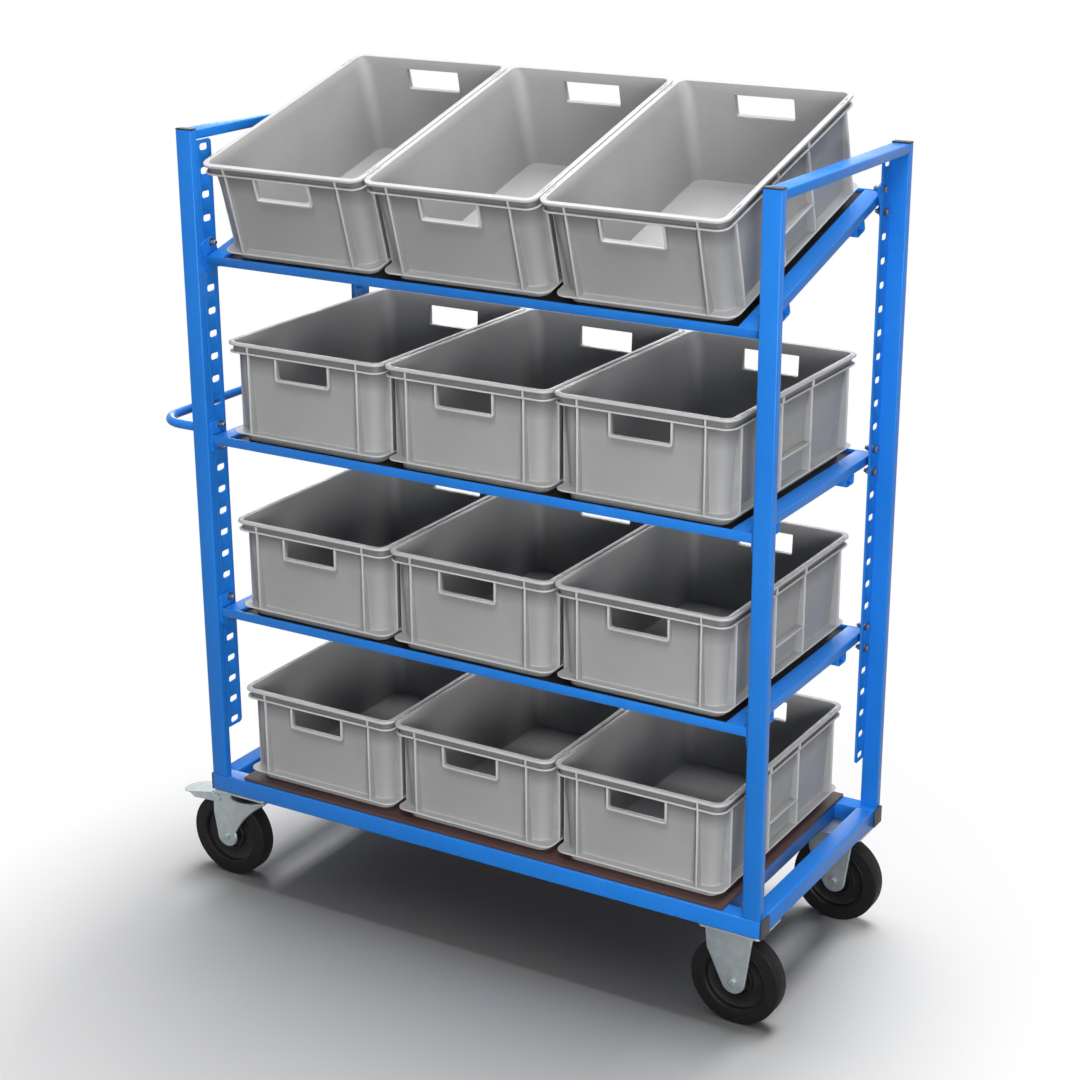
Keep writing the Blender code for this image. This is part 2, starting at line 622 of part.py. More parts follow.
def hold_frame(side):
    """U-shaped frame under the collar, round a hand hold, its back in the slope of the wall."""
    half = HOLD_WIDTH / 2
    low = COLLAR_BOTTOM - HOLD_DEPTH
    high = COLLAR_BOTTOM + OVERRUN
    outline = [
        (low, -half), (low, half), (high, half), (high, half - HOLD_FRAME),
        (low + HOLD_FRAME, half - HOLD_FRAME), (low + HOLD_FRAME, HOLD_FRAME - half),
        (high, HOLD_FRAME - half), (high, -half)]
    outer = side * (BIN_LENGTH / 2 - RIB_INSET)
    inner = side * (BIN_LENGTH / 2 - WALL_INSET_LOW)
    frame = prism(outline, min(outer, inner), max(outer, inner), turn=ALONG_Y)
    for vert in frame.vertices:
        if abs(vert.co.y) < BIN_LENGTH / 2 - RIB_INSET - OVERRUN:
            vert.co.y = side * (BIN_LENGTH / 2 - wall_middle(vert.co.z))
    return frame


def bin_cuts():
    """Openings through both short walls, as wide and high as the inside of their frames."""
    half = HOLD_WIDTH / 2 - HOLD_FRAME
    cuts = []
    for side in SIDES:
        near = side * (BIN_LENGTH / 2 - WALL_INSET_HIGH + OVERRUN)
        far = side * (BIN_LENGTH / 2 - WALL_INSET_LOW - WALL_THICK - OVERRUN)
        low = (-half, min(near, far), COLLAR_BOTTOM - HOLD_DEPTH + HOLD_FRAME)
        cuts.append(box(low, (half, max(near, far), COLLAR_BOTTOM)))
    return cuts


def build_bins(levels, looks):
    """Three containers on each level, all from one mould."""
    mould = bin_mesh()
    for name, level in levels:
        slip = BIN_SLIP if level.rotation_euler.x else 0
        for column, hand in zip((-1, 0, 1), ("left", "middle", "right")):
            place = (column * BIN_PITCH, -slip, GAP)
            add_node("bin_" + name + "_" + hand, mould, looks["plastic_grey"], level, place)


def build_handle(root, looks):
    """Bent tube push handle on the left uprights."""
    height = HANDLE_HEIGHT
    y = HALF_DEPTH - UPRIGHT_DEPTH / 2
    grip = HALF_LENGTH + HANDLE_REACH
    path = [((-HALF_LENGTH - GAP, -y), (-1, 0))]
    for side in SIDES:
        centre = (HANDLE_BEND - grip, side * (y - HANDLE_BEND))
        for i in range(BEND_STEPS + 1):
            share = i / BEND_STEPS if side < 0 else 1 - i / BEND_STEPS
            a = math.pi / 2 * share
            point = (centre[0] - HANDLE_BEND * math.sin(a), centre[1] + side * HANDLE_BEND * math.cos(a))
            path.append((point, (-math.cos(a) * -side, math.sin(a))))
    path.append(((-HALF_LENGTH - GAP, y), (1, 0)))
    rings = []
    for radius, order in ((HANDLE_TUBE / 2, path), (HANDLE_TUBE / 2 - HANDLE_WALL, path[::-1])):
        for (px, py), (dx, dy) in order:
            across = Vector((-dy, dx, 0))
            ring = circle_points(radius, HANDLE_STEPS)
            rings.append([Vector((px, py, height)) + across * u + Vector((0, 0, v)) for u, v in ring])
    add_node("push_handle", loft(rings, closed=True), looks["paint_blue"], root, smooth=True)


def leg_holes():
    """Axle hole through a castor leg, about the axle."""
    return [circle_points(AXLE_RADIUS + AXLE_PLAY, TURN_STEPS)]


def leg_pair(outline):
    """Two castor legs from one outline of (height, reach) points about the axle."""
    inner = LEG_SPREAD / 2
    outer = inner + LEG_THICK
    spans = ((-outer, -inner), (inner, outer))
    return [prism(outline, low, high, leg_holes(), ALONG_Y) for low, high in spans]


def wheel_mesh():
    """Wheel about its axle, axle along Y: tread with shoulders, rim step, web and hub."""
    half = TREAD_WIDTH / 2
    inner = WHEEL_RADIUS - TYRE_DEPTH
    hub = LEG_SPREAD / 2 - GAP
    bore = AXLE_RADIUS + WHEEL_PLAY
    right = [
        (WHEEL_RADIUS, half - SHOULDER), (WHEEL_RADIUS - SHOULDER, half), (inner, half),
        (inner - RIM_STEP, WEB_THICK / 2), (HUB_RADIUS, WEB_THICK / 2), (HUB_RADIUS, hub), (bore, hub)]
    left = [(radius, -height) for radius, height in reversed(right)]
    return turned(right + left, WHEEL_STEPS, ALONG_Y, flat=True)


def axle_mesh():
    """Axle bolt with its head and nut outside the legs."""
    face = LEG_SPREAD / 2 + LEG_THICK + GAP
    end = face + AXLE_HEAD_THICK
    profile = [(AXLE_HEAD_RADIUS, -end), (AXLE_HEAD_RADIUS, -face), (AXLE_RADIUS, -face),
               (AXLE_RADIUS, face), (AXLE_HEAD_RADIUS, face), (AXLE_HEAD_RADIUS, end)]
    return spindle(profile, TURN_STEPS, ALONG_Y)


def swivel_plate_mesh():
    """Top plate with the fixed bearing race below it, about the swivel axis at floor height."""
    outline = rounded_rect(PLATE_LENGTH, PLATE_WIDTH, PLATE_RADIUS)
    race_low = PLATE_UNDER - RACE_HEIGHT
    race = spindle([(RACE_RADIUS, race_low), (RACE_RADIUS, PLATE_UNDER + OVERRUN)], TURN_STEPS)
    return fuse(prism(outline, PLATE_UNDER, PLATE_TOP), [race])


def fork_mesh():
    """Swivel fork about the axle: crown, neck and two pressed legs."""
    crown = [
        (CROWN_RADIUS, CROWN_UNDER), (CROWN_RADIUS, CROWN_UNDER + CROWN_THICK),
        (CROWN_NECK_RADIUS, CROWN_UNDER + CROWN_THICK), (CROWN_NECK_RADIUS, CROWN_TOP)]
    body = shifted(spindle(crown, TURN_STEPS), (TRAIL, 0, -WHEEL_RADIUS))
    top = CROWN_UNDER + CROWN_THICK / 2 - WHEEL_RADIUS
    shoulders = [
        (top, TRAIL + CROWN_RADIUS - CROWN_THICK), (top, -LEG_TOP_REACH),
        (LEG_SHOULDER_HEIGHT, -LEG_SHOULDER_REACH)]
    outline = hull_outline(shoulders + circle_points(LEG_TIP_RADIUS, TURN_STEPS))
    return fuse(body, leg_pair(outline))


def fixed_bracket_mesh():
    """Fixed bracket about the axle: top plate and two pressed legs."""
    outline = rounded_rect(PLATE_LENGTH, PLATE_WIDTH, PLATE_RADIUS)
    plate = shifted(prism(outline, PLATE_UNDER, PLATE_TOP), (0, 0, -WHEEL_RADIUS))
    top = PLATE_UNDER + PLATE_THICK / 2 - WHEEL_RADIUS
    shoulders = [
        (top, FIXED_OUTER_REACH), (top, -FIXED_TOP_REACH), (FIXED_BEND_HEIGHT, -FIXED_BEND_REACH)]
    leg = hull_outline(shoulders + circle_points(LEG_TIP_RADIUS, TURN_STEPS))
    return fuse(plate, leg_pair(leg))


def pedal_mesh():
    """Brake pedal about its pivot: two cheeks outside the legs and a tread with a rounded tip."""
    inner = LEG_SPREAD / 2 + LEG_THICK + GAP
    outer = inner + PEDAL_SHEET
    start = -PEDAL_TREAD_START
    tip = outer - PEDAL_LENGTH
    tread_low = PEDAL_TREAD_RISE - PEDAL_SHEET
    slope = PEDAL_TIP_DROP / (PEDAL_LENGTH - PEDAL_TREAD_START)
    fall = (start - tip) * slope
    lug = circle_points(PEDAL_LUG_RADIUS, TURN_STEPS)
    side = hull_outline(lug + [
        (tread_low + PEDAL_SHEET / 2, start), (tread_low + PEDAL_SHEET / 2 - fall, tip),
        (tread_low - PEDAL_CHEEK_DEPTH - fall / 2, tip + PEDAL_CHEEK_DEPTH)])
    cheeks = [prism(side, low, high, turn=ALONG_Y) for low, high in ((-outer, -inner), (inner, outer))]
    end = [(x + tip, y) for x, y in circle_points(outer, TURN_STEPS) if x < OVERRUN]
    outline = hull_outline(end + [(start, -outer), (start, outer)])
    bm = bmesh.new()
    rows = []
    for lift in (tread_low, PEDAL_TREAD_RISE):
        rows.append([bm.verts.new((x, y, lift - (start - x) * slope)) for x, y in outline])
    for row in rows:
        bm.faces.new(row)
    for i in range(len(outline)):
        bm.faces.new((rows[0][i - 1], rows[0][i], rows[1][i], rows[1][i - 1]))
    return fuse(to_mesh(bm, "tread"), cheeks)


def build_castors(root, looks):
    """Braked swivel castors under the handle's end, fixed castors under the other."""
    wheel, axle = wheel_mesh(), axle_mesh()
    plate, fork, bracket, pedal = swivel_plate_mesh(), fork_mesh(), fixed_bracket_mesh(), pedal_mesh()
    for side, row in zip(SIDES, ("front", "rear")):
        y = side * CASTOR_Y
        add_node("castor_plate_" + row, plate, looks["zinc"], root, (-CASTOR_X, y, 0))
        swivel = add_empty("swivel_" + row, root, (-CASTOR_X, y, 0))
        axis = (-TRAIL, 0, WHEEL_RADIUS)
        add_node("fork_" + row, fork, looks["zinc"], swivel, axis)
        add_node("axle_swivel_" + row, axle, looks["zinc"], swivel, axis)
        add_node("wheel_swivel_" + row, wheel, looks["rubber"], swivel, axis, smooth=True)
        pivot = (-TRAIL - PEDAL_PIVOT_REACH, 0, WHEEL_RADIUS + PEDAL_PIVOT_HEIGHT)
        add_node("brake_pedal_" + row, pedal, looks["zinc"], swivel, pivot)
        place = (CASTOR_X, y, WHEEL_RADIUS)
        add_node("bracket_" + row, bracket, looks["zinc"], root, place)
        add_node("axle_fixed_" + row, axle, looks["zinc"], root, place)
        add_node("wheel_fixed_" + row, wheel, looks["rubber"], root, place, smooth=True)


def box_middle():
    """Place of the frame's middle when the origin is under the middle of the overall box."""
    tilt = max(shelf_place(front, rear)[1] for name, front, rear in SHELVES)
    rim = BIN_HEIGHT + GAP
    front_reach = (BIN_LENGTH / 2 + BIN_SLIP) * math.cos(tilt) + rim * math.sin(tilt)
    return (PEDAL_TIP - WHEEL_EDGE) / 2, (max(front_reach, HALF_DEPTH) - HALF_DEPTH) / 2, 0


def build():
    """The whole trolley."""
    clear_scene()
    looks = make_materials()
    root = add_empty("trolley", None, box_middle())
    build_base(root, looks)
    build_uprights(root, looks)
    build_handle(root, looks)
    levels = build_shelves(root, looks)
    build_bins(levels, looks)
    build_castors(root, looks)
    bpy.context.view_layer.update()


build()
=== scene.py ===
"""Looks of the order picking trolley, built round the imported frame."""
import json
import math

import bmesh
import bpy
from mathutils import Matrix, Vector


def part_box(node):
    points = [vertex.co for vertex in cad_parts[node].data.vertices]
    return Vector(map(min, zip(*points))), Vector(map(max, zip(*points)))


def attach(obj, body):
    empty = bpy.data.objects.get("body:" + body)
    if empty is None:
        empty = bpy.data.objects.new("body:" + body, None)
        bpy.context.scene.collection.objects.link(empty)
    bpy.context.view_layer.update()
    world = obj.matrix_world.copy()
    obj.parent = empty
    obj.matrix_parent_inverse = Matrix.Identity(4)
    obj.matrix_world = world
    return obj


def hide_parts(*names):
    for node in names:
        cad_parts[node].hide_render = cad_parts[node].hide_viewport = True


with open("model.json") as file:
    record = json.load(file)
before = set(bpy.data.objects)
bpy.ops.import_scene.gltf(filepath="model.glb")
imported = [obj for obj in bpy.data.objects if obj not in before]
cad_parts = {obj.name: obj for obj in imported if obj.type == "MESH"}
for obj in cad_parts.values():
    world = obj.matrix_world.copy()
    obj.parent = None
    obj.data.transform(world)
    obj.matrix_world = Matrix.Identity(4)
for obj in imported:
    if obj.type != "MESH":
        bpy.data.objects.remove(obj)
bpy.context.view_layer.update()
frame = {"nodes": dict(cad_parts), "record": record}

SIDES = (-1, 1)

# Tubes, caps and handle, in metres like all sizes
TUBE_RADIUS = 0.003
SEAM_RADIUS = 0.0006
UPRIGHT_CAP_HEAD = 0.003
TUBE_CAP_HEAD = 0.005
HANDLE_BEND = 0.062

# Perforated strips
STRIP_HOLES = 27
STRIP_PITCH = 0.050
STRIP_MARGIN = 0.015
STRIP_THICK = 0.003
STRIP_CORNER = 0.009
STRIP_REACH = 0.6535                      # inner face from the frame's middle
HOLE_WIDTH = 0.026
HOLE_HEIGHT = 0.014
HOLE_RADIUS = 0.0052
HOLE_SETBACK = 0.0205

# Shelves, about the top of their boards
SHELF_LENGTH = 1.2954
SHELF_DEPTH = 0.604
SHELF_RISE = 0.007
RAIL_HEIGHT = 0.020
RAIL_THICK = 0.004
RAIL_LOW = SHELF_RISE - RAIL_HEIGHT
LEDGE_WIDTH = 0.030
LEDGE_THICK = 0.003
LEDGE_TOP = RAIL_LOW + LEDGE_THICK
SIDE_RAIL_WIDTH = 0.040
SIDE_RAIL_REACH = 0.642
BOARD_GAP = 0.0004
EAR_OUTER = 0.6532
EAR_THICK = 0.0055
EAR_WIDTH = 0.045
EAR_HEIGHT = 0.070
EAR_RADIUS = 0.008
STIFFENER_WIDTH = 0.040
STIFFENER_HEIGHT = 0.023
STIFFENER_RADIUS = 0.006
STIFFENER_SPAN = 0.180
STIFFENER_WALL = 0.002

# Bolts of the shelves
BOLT_REACH = 0.271
BOLT_RADIUS = 0.004
BOLT_TAIL = 0.013
HEX_RADIUS = 0.0075
NUT_HEIGHT = 0.0065
HEAD_HEIGHT = 0.0052
WASHER_RADIUS = 0.0085
WASHER_THICK = 0.0016
THREAD_STEPS = 9
THREAD_STEP = 0.0005
THREAD_DEPTH = 0.0003

# Containers, about the middle of their undersides
BIN_WIDTH = 0.400
BIN_LENGTH = 0.600
BIN_HEIGHT = 0.220
BIN_RADIUS = 0.028
SKIRT_TOP = 0.0225
COLLAR_LOW = 0.197
COLLAR_HIGH = 0.2004
LIP_LOW = 0.214
WALL_CORNER = 0.04825
WALL_INSET_LOW = 0.024
WALL_INSET_HIGH = 0.013
WALL_THICK = 0.0025
RIB_THICK = 0.0035
RIB_OUT = 0.0035
RIB_SOFT = 0.0006
END_RIB_SPANS = (-0.140, 0.140)
SIDE_RIB_SPANS = (-0.250, -0.070, 0.070, 0.250)
STUB_LIMIT = 0.2                          # ribs further out have no stub in the groove
STUB_OUTER = 0.0012
STUB_INNER = 0.010
CROSS_RIB_SPAN = 0.070
CROSS_RIB_HEIGHT = 0.082
HOLD_WIDTH = 0.140
HOLD_LOW = 0.1475
HOLD_FRAME = 0.004
HOLD_RADIUS = 0.006
HOLD_CUT_OUTER = 0.009
HOLD_CUT_INNER = 0.040
RIM_SLOT_INSET = 0.0046
RIM_SLOT_WIDTH = 0.0020
RIM_SLOT_LENGTH = 0.016
RIM_SLOT_DEPTH = 0.0030
RIM_SLOT_STARTS = (0.226, 0.247)
EDGE_BLEND = 0.0003
# Greys of painted light on the containers: highlights on outer faces, rim tops and convex edges, shade in
# the groove and below the collar
OUTER_HIGHLIGHT_GREY = (0.58, 0.58, 0.58)
SHADED_GREY = (0.13, 0.13, 0.13)
GROOVE_SHADE_GREY = (0.14, 0.14, 0.14)
RIM_HIGHLIGHT_GREY = (0.47, 0.47, 0.47)
EDGE_HIGHLIGHT_GREY = (0.48, 0.48, 0.48)

# Castors, about their axles
TYRE_HALF = 0.020
TYRE_DEPTH = 0.030
HUB_RADIUS = 0.020
HUB_BORE = 0.0068
AXLE_RADIUS = 0.006
AXLE_TAIL = 0.0050
AXLE_WASHER_RADIUS = 0.0094
AXLE_WASHER_THICK = 0.0012
AXLE_NUT_RADIUS = 0.0088
AXLE_NUT_TOP = 0.0049
PLATE_THICK = 0.005
PLATE_RADIUS = 0.010
LEG_SPREAD = 0.048
LEG_THICK = 0.004
LEG_TIP_RADIUS = 0.0275
LEG_BEND = 0.0034
TRAIL = 0.063
CROWN_HEIGHT = 0.012
FORK_TIP_START = 176                      # degrees, from the swept side over the top
FORK_TIP_TURN = 209
FORK_PULL = (0.066, 0.054)
FORK_BACK = 0.113

# Lamps: place about the frame's middle, width and power
LAMP_AIM = (0, 0, 0.9)
LAMPS = (
    ("key", (-0.1, 2.2, 9.6), 6.4, 940),
    ("front", (5.2, -6.2, 1.65), 3.1, 460),
    ("top", (2.2, -4.7, 8.4), 5.0, 540),
    ("back", (-4.6, 7.0, 2.2), 4.0, 300))
DOME_START = 0.08
DOME_STRENGTH = 0.24

# Camera, as fitted to the photograph
CAMERA_SPOT = (2.342, -3.880, 2.448)      # from the floor under the frame's middle
CAMERA_AZIMUTH = math.radians(30.03)
CAMERA_FALL = math.radians(19.37)
CAMERA_ROLL = math.radians(0.07)
CAMERA_LENS = 73.70
CAMERA_SHIFT = (-0.0369, 0.0041)

deck_low, deck_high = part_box("deck")
MIDDLE = Vector(((deck_low.x + deck_high.x) / 2, (deck_low.y + deck_high.y) / 2, 0))
mounts = {mount["name"]: mount for mount in frame["record"]["mounts"]}
board_low, board_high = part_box("shelf_board_lower")
BOARD_THICK = board_high.z - board_low.z

ALONG_X = Matrix(((0, 0, 1, 0), (1, 0, 0, 0), (0, 1, 0, 0), (0, 0, 0, 1)))
ALONG_Y = Matrix(((0, 1, 0, 0), (0, 0, 1, 0), (1, 0, 0, 0), (0, 0, 0, 1)))


class Nodes:
    """Short way to write the node tree of a material or a world."""

    def __init__(self, owner):
        owner.use_nodes = True
        self.owner = owner
        self.tree = owner.node_tree
        self.spots = self.add("ShaderNodeTexCoord").outputs
        self.place = self.spots["Object"]

    def add(self, kind, links=(), **values):
        """Add a node. Each value goes to the property or else to the input of that name."""
        node = self.tree.nodes.new(kind)
        for key, value in values.items():
            if hasattr(node, key):
                setattr(node, key, value)
            else:
                node.inputs[key.replace("_", " ").title()].default_value = value
        for socket, source in dict(links).items():
            self.tree.links.new(source, node.inputs[socket])
        return node

    def feed(self, socket, value):
        """Give a socket a link, a colour or a number."""
        if isinstance(value, bpy.types.NodeSocket):
            self.tree.links.new(value, socket)
        elif isinstance(value, tuple):
            socket.default_value = (*value, 1)
        else:
            socket.default_value = value

    def set(self, name, value):
        """Feed one input of a material's shader."""
        self.feed(self.tree.nodes["Principled BSDF"].inputs[name], value)

    def noise(self, scale, detail=2.0, roughness=0.5, stretch=None):
        spot = self.place
        if stretch:
            spot = self.add("ShaderNodeMapping", {"Vector": spot}, Scale=stretch).outputs[0]
        node = self.add(
            "ShaderNodeTexNoise", {"Vector": spot}, Scale=scale, Detail=detail, Roughness=roughness)
        return node.outputs["Fac"]

    def ramp(self, value, low, high, start, end):
        """Go from start to end while the value goes from low to high."""
        limits = {"From_Min": low, "From_Max": high, "To_Min": start, "To_Max": end}
        return self.add("ShaderNodeMapRange", {"Value": value}, **limits).outputs[0]

    def drift(self, start, end, *pattern):
        """Noise that is spread between two values."""
        return self.ramp(self.noise(*pattern), 0.3, 0.7, start, end)

    def mix(self, share, first, second):
        node = self.add("ShaderNodeMix", data_type="RGBA")
        for number, value in ((0, share), (6, first), (7, second)):
            self.feed(node.inputs[number], value)
        return node.outputs[2]

    def math(self, operation, first, second=0.0):
        node = self.add("ShaderNodeMath", operation=operation)
        self.feed(node.inputs[0], first)
        self.feed(node.inputs[1], second)
        return node.outputs[0]

    def product(self, first, *others):
        for other in others:
            first = self.math("MULTIPLY", first, other)
        return first

    def bump(self, layers):
        """Lay bumps over each other, each given as height, strength and distance."""
        normal = None
        for height, strength, distance in layers:
            node = self.add("ShaderNodeBump", {"Height": height}, Strength=strength, Distance=distance)
            if normal:
                self.feed(node.inputs["Normal"], normal)
            normal = node.outputs[0]
        self.set("Normal", normal)

    def edges(self):
        """1 on convex edges, broken up by noise: wear on the paint, painted highlight on the containers."""
        worn = self.ramp(self.add("ShaderNodeNewGeometry").outputs["Pointiness"], 0.52, 0.62, 0.0, 1.0)
        patch = self.ramp(self.noise(38, 4, 0.6), 0.5, 0.72, 0.0, 1.0)
        return self.math("MULTIPLY", worn, patch)

    def reach(self, radius):
        """Distance from the container's outline with that corner radius, below zero inside it."""
        axes = self.add("ShaderNodeSeparateXYZ", {0: self.place}).outputs
        gaps = []
        for axis, half in zip(axes, (BIN_WIDTH / 2, BIN_LENGTH / 2)):
            beyond = self.math("SUBTRACT", self.math("ABSOLUTE", axis), half - radius)
            gaps.append(self.math("MAXIMUM", beyond, 0.0))
        corner = self.add("ShaderNodeCombineXYZ", {0: gaps[0], 1: gaps[1]}).outputs[0]
        span = self.add("ShaderNodeVectorMath", {0: corner}, operation="LENGTH").outputs["Value"]
        return self.math("SUBTRACT", span, radius)

    def plain_sight(self):
        """1 for rays that come straight from the camera or from a reflection."""
        path = self.add("ShaderNodeLightPath").outputs
        return self.math("MAXIMUM", path["Is Camera Ray"], path["Is Glossy Ray"])


def new_look(name):
    return Nodes(bpy.data.materials.new(name))


def paint_blue():
    """Satin powder coat: fine orange peel, slight tone drift, pale rubbed edges."""
    n = new_look("paint_blue")
    base = n.mix(n.drift(0, 1, 5, 3), (0.0120, 0.172, 0.610), (0.0160, 0.196, 0.665))
    n.set("Base Color", n.mix(n.ramp(n.edges(), 0, 1, 0, 0.35), base, (0.06, 0.27, 0.74)))
    n.set("Roughness", n.drift(0.30, 0.40, 14, 3))
    n.set("Specular IOR Level", 0.20)
    n.set("Coat Weight", 0.03)
    n.set("Coat Roughness", 0.15)
    n.bump(((n.noise(900, 1), 0.12, 0.0004), (n.noise(90, 2), 0.06, 0.001)))
    return n.owner


def groove_shade(n, out, height):
    """Share of painted shade: in the groove between collar and lip, weaker at its mouth."""
    return n.product(
        n.ramp(out, -0.0035, -0.0055, 0.0, 0.7), n.ramp(out, -0.0106, -0.0100, 0.0, 1.0),
        n.ramp(height, COLLAR_HIGH - EDGE_BLEND, COLLAR_HIGH + EDGE_BLEND, 0.0, 1.0),
        n.ramp(height, LIP_LOW - EDGE_BLEND, LIP_LOW + EDGE_BLEND, 1.0, 0.0))


def collar_shade(n, out, height):
    """Share of shade: on the outer faces of the walls, darker towards the collar."""
    slope = (WALL_INSET_LOW - WALL_INSET_HIGH) / (COLLAR_LOW - SKIRT_TOP)
    inset = n.math("MULTIPLY", n.math("SUBTRACT", COLLAR_LOW, height), slope)
    skin = n.math("ADD", n.reach(WALL_CORNER), n.math("ADD", inset, WALL_INSET_HIGH))
    return n.product(
        n.ramp(skin, -0.0015, -0.0008, 0.0, 1.0), n.ramp(out, -0.0075, -0.0110, 0.0, 1.0),
        n.ramp(height, COLLAR_LOW - 0.045, COLLAR_LOW, 0.0, 0.8),
        n.ramp(height, COLLAR_LOW, COLLAR_LOW + 0.0005, 1.0, 0.0))


def container_grey():
    """Moulded polypropylene: faint flow mottling, fine grain; painted highlights on outer faces near the
    rim, rim top and convex edges; painted shade in the groove and below the collar.
    """
    n = new_look("container_grey")
    base = n.mix(n.drift(0, 1, 9, 4), (0.318, 0.319, 0.321), (0.350, 0.350, 0.350))
    flow = n.ramp(n.noise(3, 3, 0.6, (1, 1, 0.25)), 0.35, 0.75, 0.0, 0.5)
    base = n.mix(flow, base, (0.338, 0.336, 0.332))
    height = n.add("ShaderNodeSeparateXYZ", {0: n.place}).outputs["Z"]
    out = n.reach(BIN_RADIUS)
    # Painted highlight: paler lip, flange and rib faces close to the container's outline
    base = n.mix(n.ramp(out, -0.0075, -0.0040, 0.0, 0.75), base, OUTER_HIGHLIGHT_GREY)
    # Painted shade in the groove under the lip
    base = n.mix(groove_shade(n, out, height), base, GROOVE_SHADE_GREY)
    base = n.mix(collar_shade(n, out, height), base, SHADED_GREY)
    # Painted highlight on the top of the rim
    rim_highlight = n.ramp(height, BIN_HEIGHT - 0.0012, BIN_HEIGHT - 0.0002, 0.0, 0.8)
    base = n.mix(rim_highlight, base, RIM_HIGHLIGHT_GREY)
    # Painted highlight on the containers' convex edges
    n.set("Base Color", n.mix(n.ramp(n.edges(), 0, 1, 0, 0.5), base, EDGE_HIGHLIGHT_GREY))
    n.set("Roughness", n.drift(0.42, 0.56, 30, 3))
    n.set("Specular IOR Level", 0.35)
    n.bump(((n.noise(1400, 1), 0.1, 0.0003), (n.noise(26, 2), 0.05, 0.002)))
    return n.owner


def moulded(name, colour, roughness=0.5, shine=0.4):
    """Moulded plastic of caps and hubs with a fine spark-eroded grain."""
    n = new_look(name)
    lighter = tuple(c * 1.35 + 0.002 for c in colour)
    n.set("Base Color", n.mix(n.drift(0, 1, 60, 3), colour, lighter))
    n.set("Roughness", n.drift(roughness - 0.06, roughness + 0.06, 80, 2))
    n.set("Specular IOR Level", shine)
    n.bump(((n.noise(1600, 1), 0.15, 0.0003),))
    return n.owner


def film_board(name, colour, light):
    """Film-faced plywood: smooth tinted film with a faint press pattern and fine scratches."""
    n = new_look(name)
    base = n.mix(n.drift(0, 1, 7, 4), colour, light)
    grain = n.noise(40, 3, 0.6, (0.08, 1.6, 1))
    n.set("Base Color", n.mix(n.ramp(grain, 0.4, 0.8, 0, 0.35), base, tuple(c * 0.7 for c in colour)))
    n.set("Roughness", n.ramp(n.noise(120, 3, 0.6, (1, 0.1, 1)), 0.35, 0.7, 0.36, 0.52))
    n.set("Specular IOR Level", 0.35)
    n.bump(((n.noise(500, 2), 0.12, 0.0004), (grain, 0.08, 0.001)))
    return n.owner


def zinc_steel():
    """Zinc plated pressed steel: grey-green cast, cloudy plating, soft brushed glints."""
    n = new_look("zinc_steel")
    n.set("Base Color", n.mix(n.drift(0, 1, 45, 4, 0.6), (0.33, 0.372, 0.382), (0.41, 0.458, 0.470)))
    n.set("Metallic", 0.75)
    n.set("Roughness", n.drift(0.36, 0.5, 70, 3))
    n.bump(((n.noise(1100, 2), 0.1, 0.0003), (n.noise(60, 2), 0.06, 0.001)))
    return n.owner


def bolt_zinc():
    """Darker plating of the shelves' bolts and nuts."""
    n = new_look("bolt_zinc")
    n.set("Base Color", n.mix(n.drift(0, 1, 200, 2), (0.15, 0.17, 0.20), (0.30, 0.33, 0.37)))
    n.set("Metallic", 0.9)
    n.set("Roughness", n.drift(0.26, 0.4, 300, 2))
    n.bump(((n.noise(1500, 1), 0.1, 0.0002),))
    return n.owner


def rubber():
    """Dull black rubber with a fine grain and dusty tread."""
    n = new_look("wheel_rubber")
    dust = n.ramp(n.noise(55, 5, 0.65), 0.45, 0.8, 0, 0.5)
    n.set("Base Color", n.mix(dust, (0.0070, 0.0070, 0.0073), (0.0135, 0.0132, 0.0130)))
    n.set("Roughness", n.drift(0.5, 0.66, 90, 3))
    n.set("Specular IOR Level", 0.14)
    n.bump(((n.noise(1300, 2), 0.2, 0.0004), (n.noise(70, 2), 0.06, 0.001)))
    return n.owner


LOOKS = {
    "paint_blue": paint_blue(),
    "container_grey": container_grey(),
    "cap_grey": moulded("cap_grey", (0.024, 0.024, 0.026)),
    "cap_black": moulded("cap_black", (0.012, 0.012, 0.013)),
    "board_brown": film_board("board_brown", (0.060, 0.030, 0.029), (0.078, 0.042, 0.040)),
    "board_black": film_board("board_black", (0.0085, 0.0065, 0.0065), (0.013, 0.0105, 0.0105)),
    "zinc_steel": zinc_steel(),
    "bolt_zinc": bolt_zinc(),
    "wheel_rubber": rubber(),
    "wheel_hub": moulded("wheel_hub", (0.0050, 0.0050, 0.0053), 0.42, 0.25),
}


def finish_mesh(bm, name, angle=32):
    """Turn a bmesh into a smooth mesh that keeps its sharp edges."""
    bmesh.ops.recalc_face_normals(bm, faces=bm.faces)
    mesh = bpy.data.meshes.new(name)
    bm.to_mesh(mesh)
    bm.free()
    mesh.shade_smooth()
    mesh.set_sharp_from_angle(angle=math.radians(angle))
    return mesh


def node_middle(node):
    """Middle of a node's box."""
    low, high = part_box(node)
    return (low + high) / 2


def add_piece(name, mesh, look, body, place=Matrix(), nodes=()):
    """Put one dressed piece on a body, standing for the CAD nodes that it covers."""
    obj = bpy.data.objects.new(name, mesh)
    bpy.context.scene.collection.objects.link(obj)
    if not mesh.materials:
        mesh.materials.append(LOOKS[look])
    obj.matrix_world = place
    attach(obj, body)
    if nodes:
        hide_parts(*nodes)
    return obj


def circle(radius, steps):
    turns = [math.tau * i / steps for i in range(steps)]
    return [(radius * math.cos(a), radius * math.sin(a)) for a in turns]


def rounded_rect(width, height, radius, steps=4, centre=(0, 0)):
    points = []
    for quarter, (sx, sy) in enumerate(((1, 1), (-1, 1), (-1, -1), (1, -1))):
        cx = centre[0] + sx * (width / 2 - radius)
        cy = centre[1] + sy * (height / 2 - radius)
        for i in range(steps + 1):
            a = math.pi / 2 * (quarter + i / steps)
            points.append((cx + radius * math.cos(a), cy + radius * math.sin(a)))
    return points


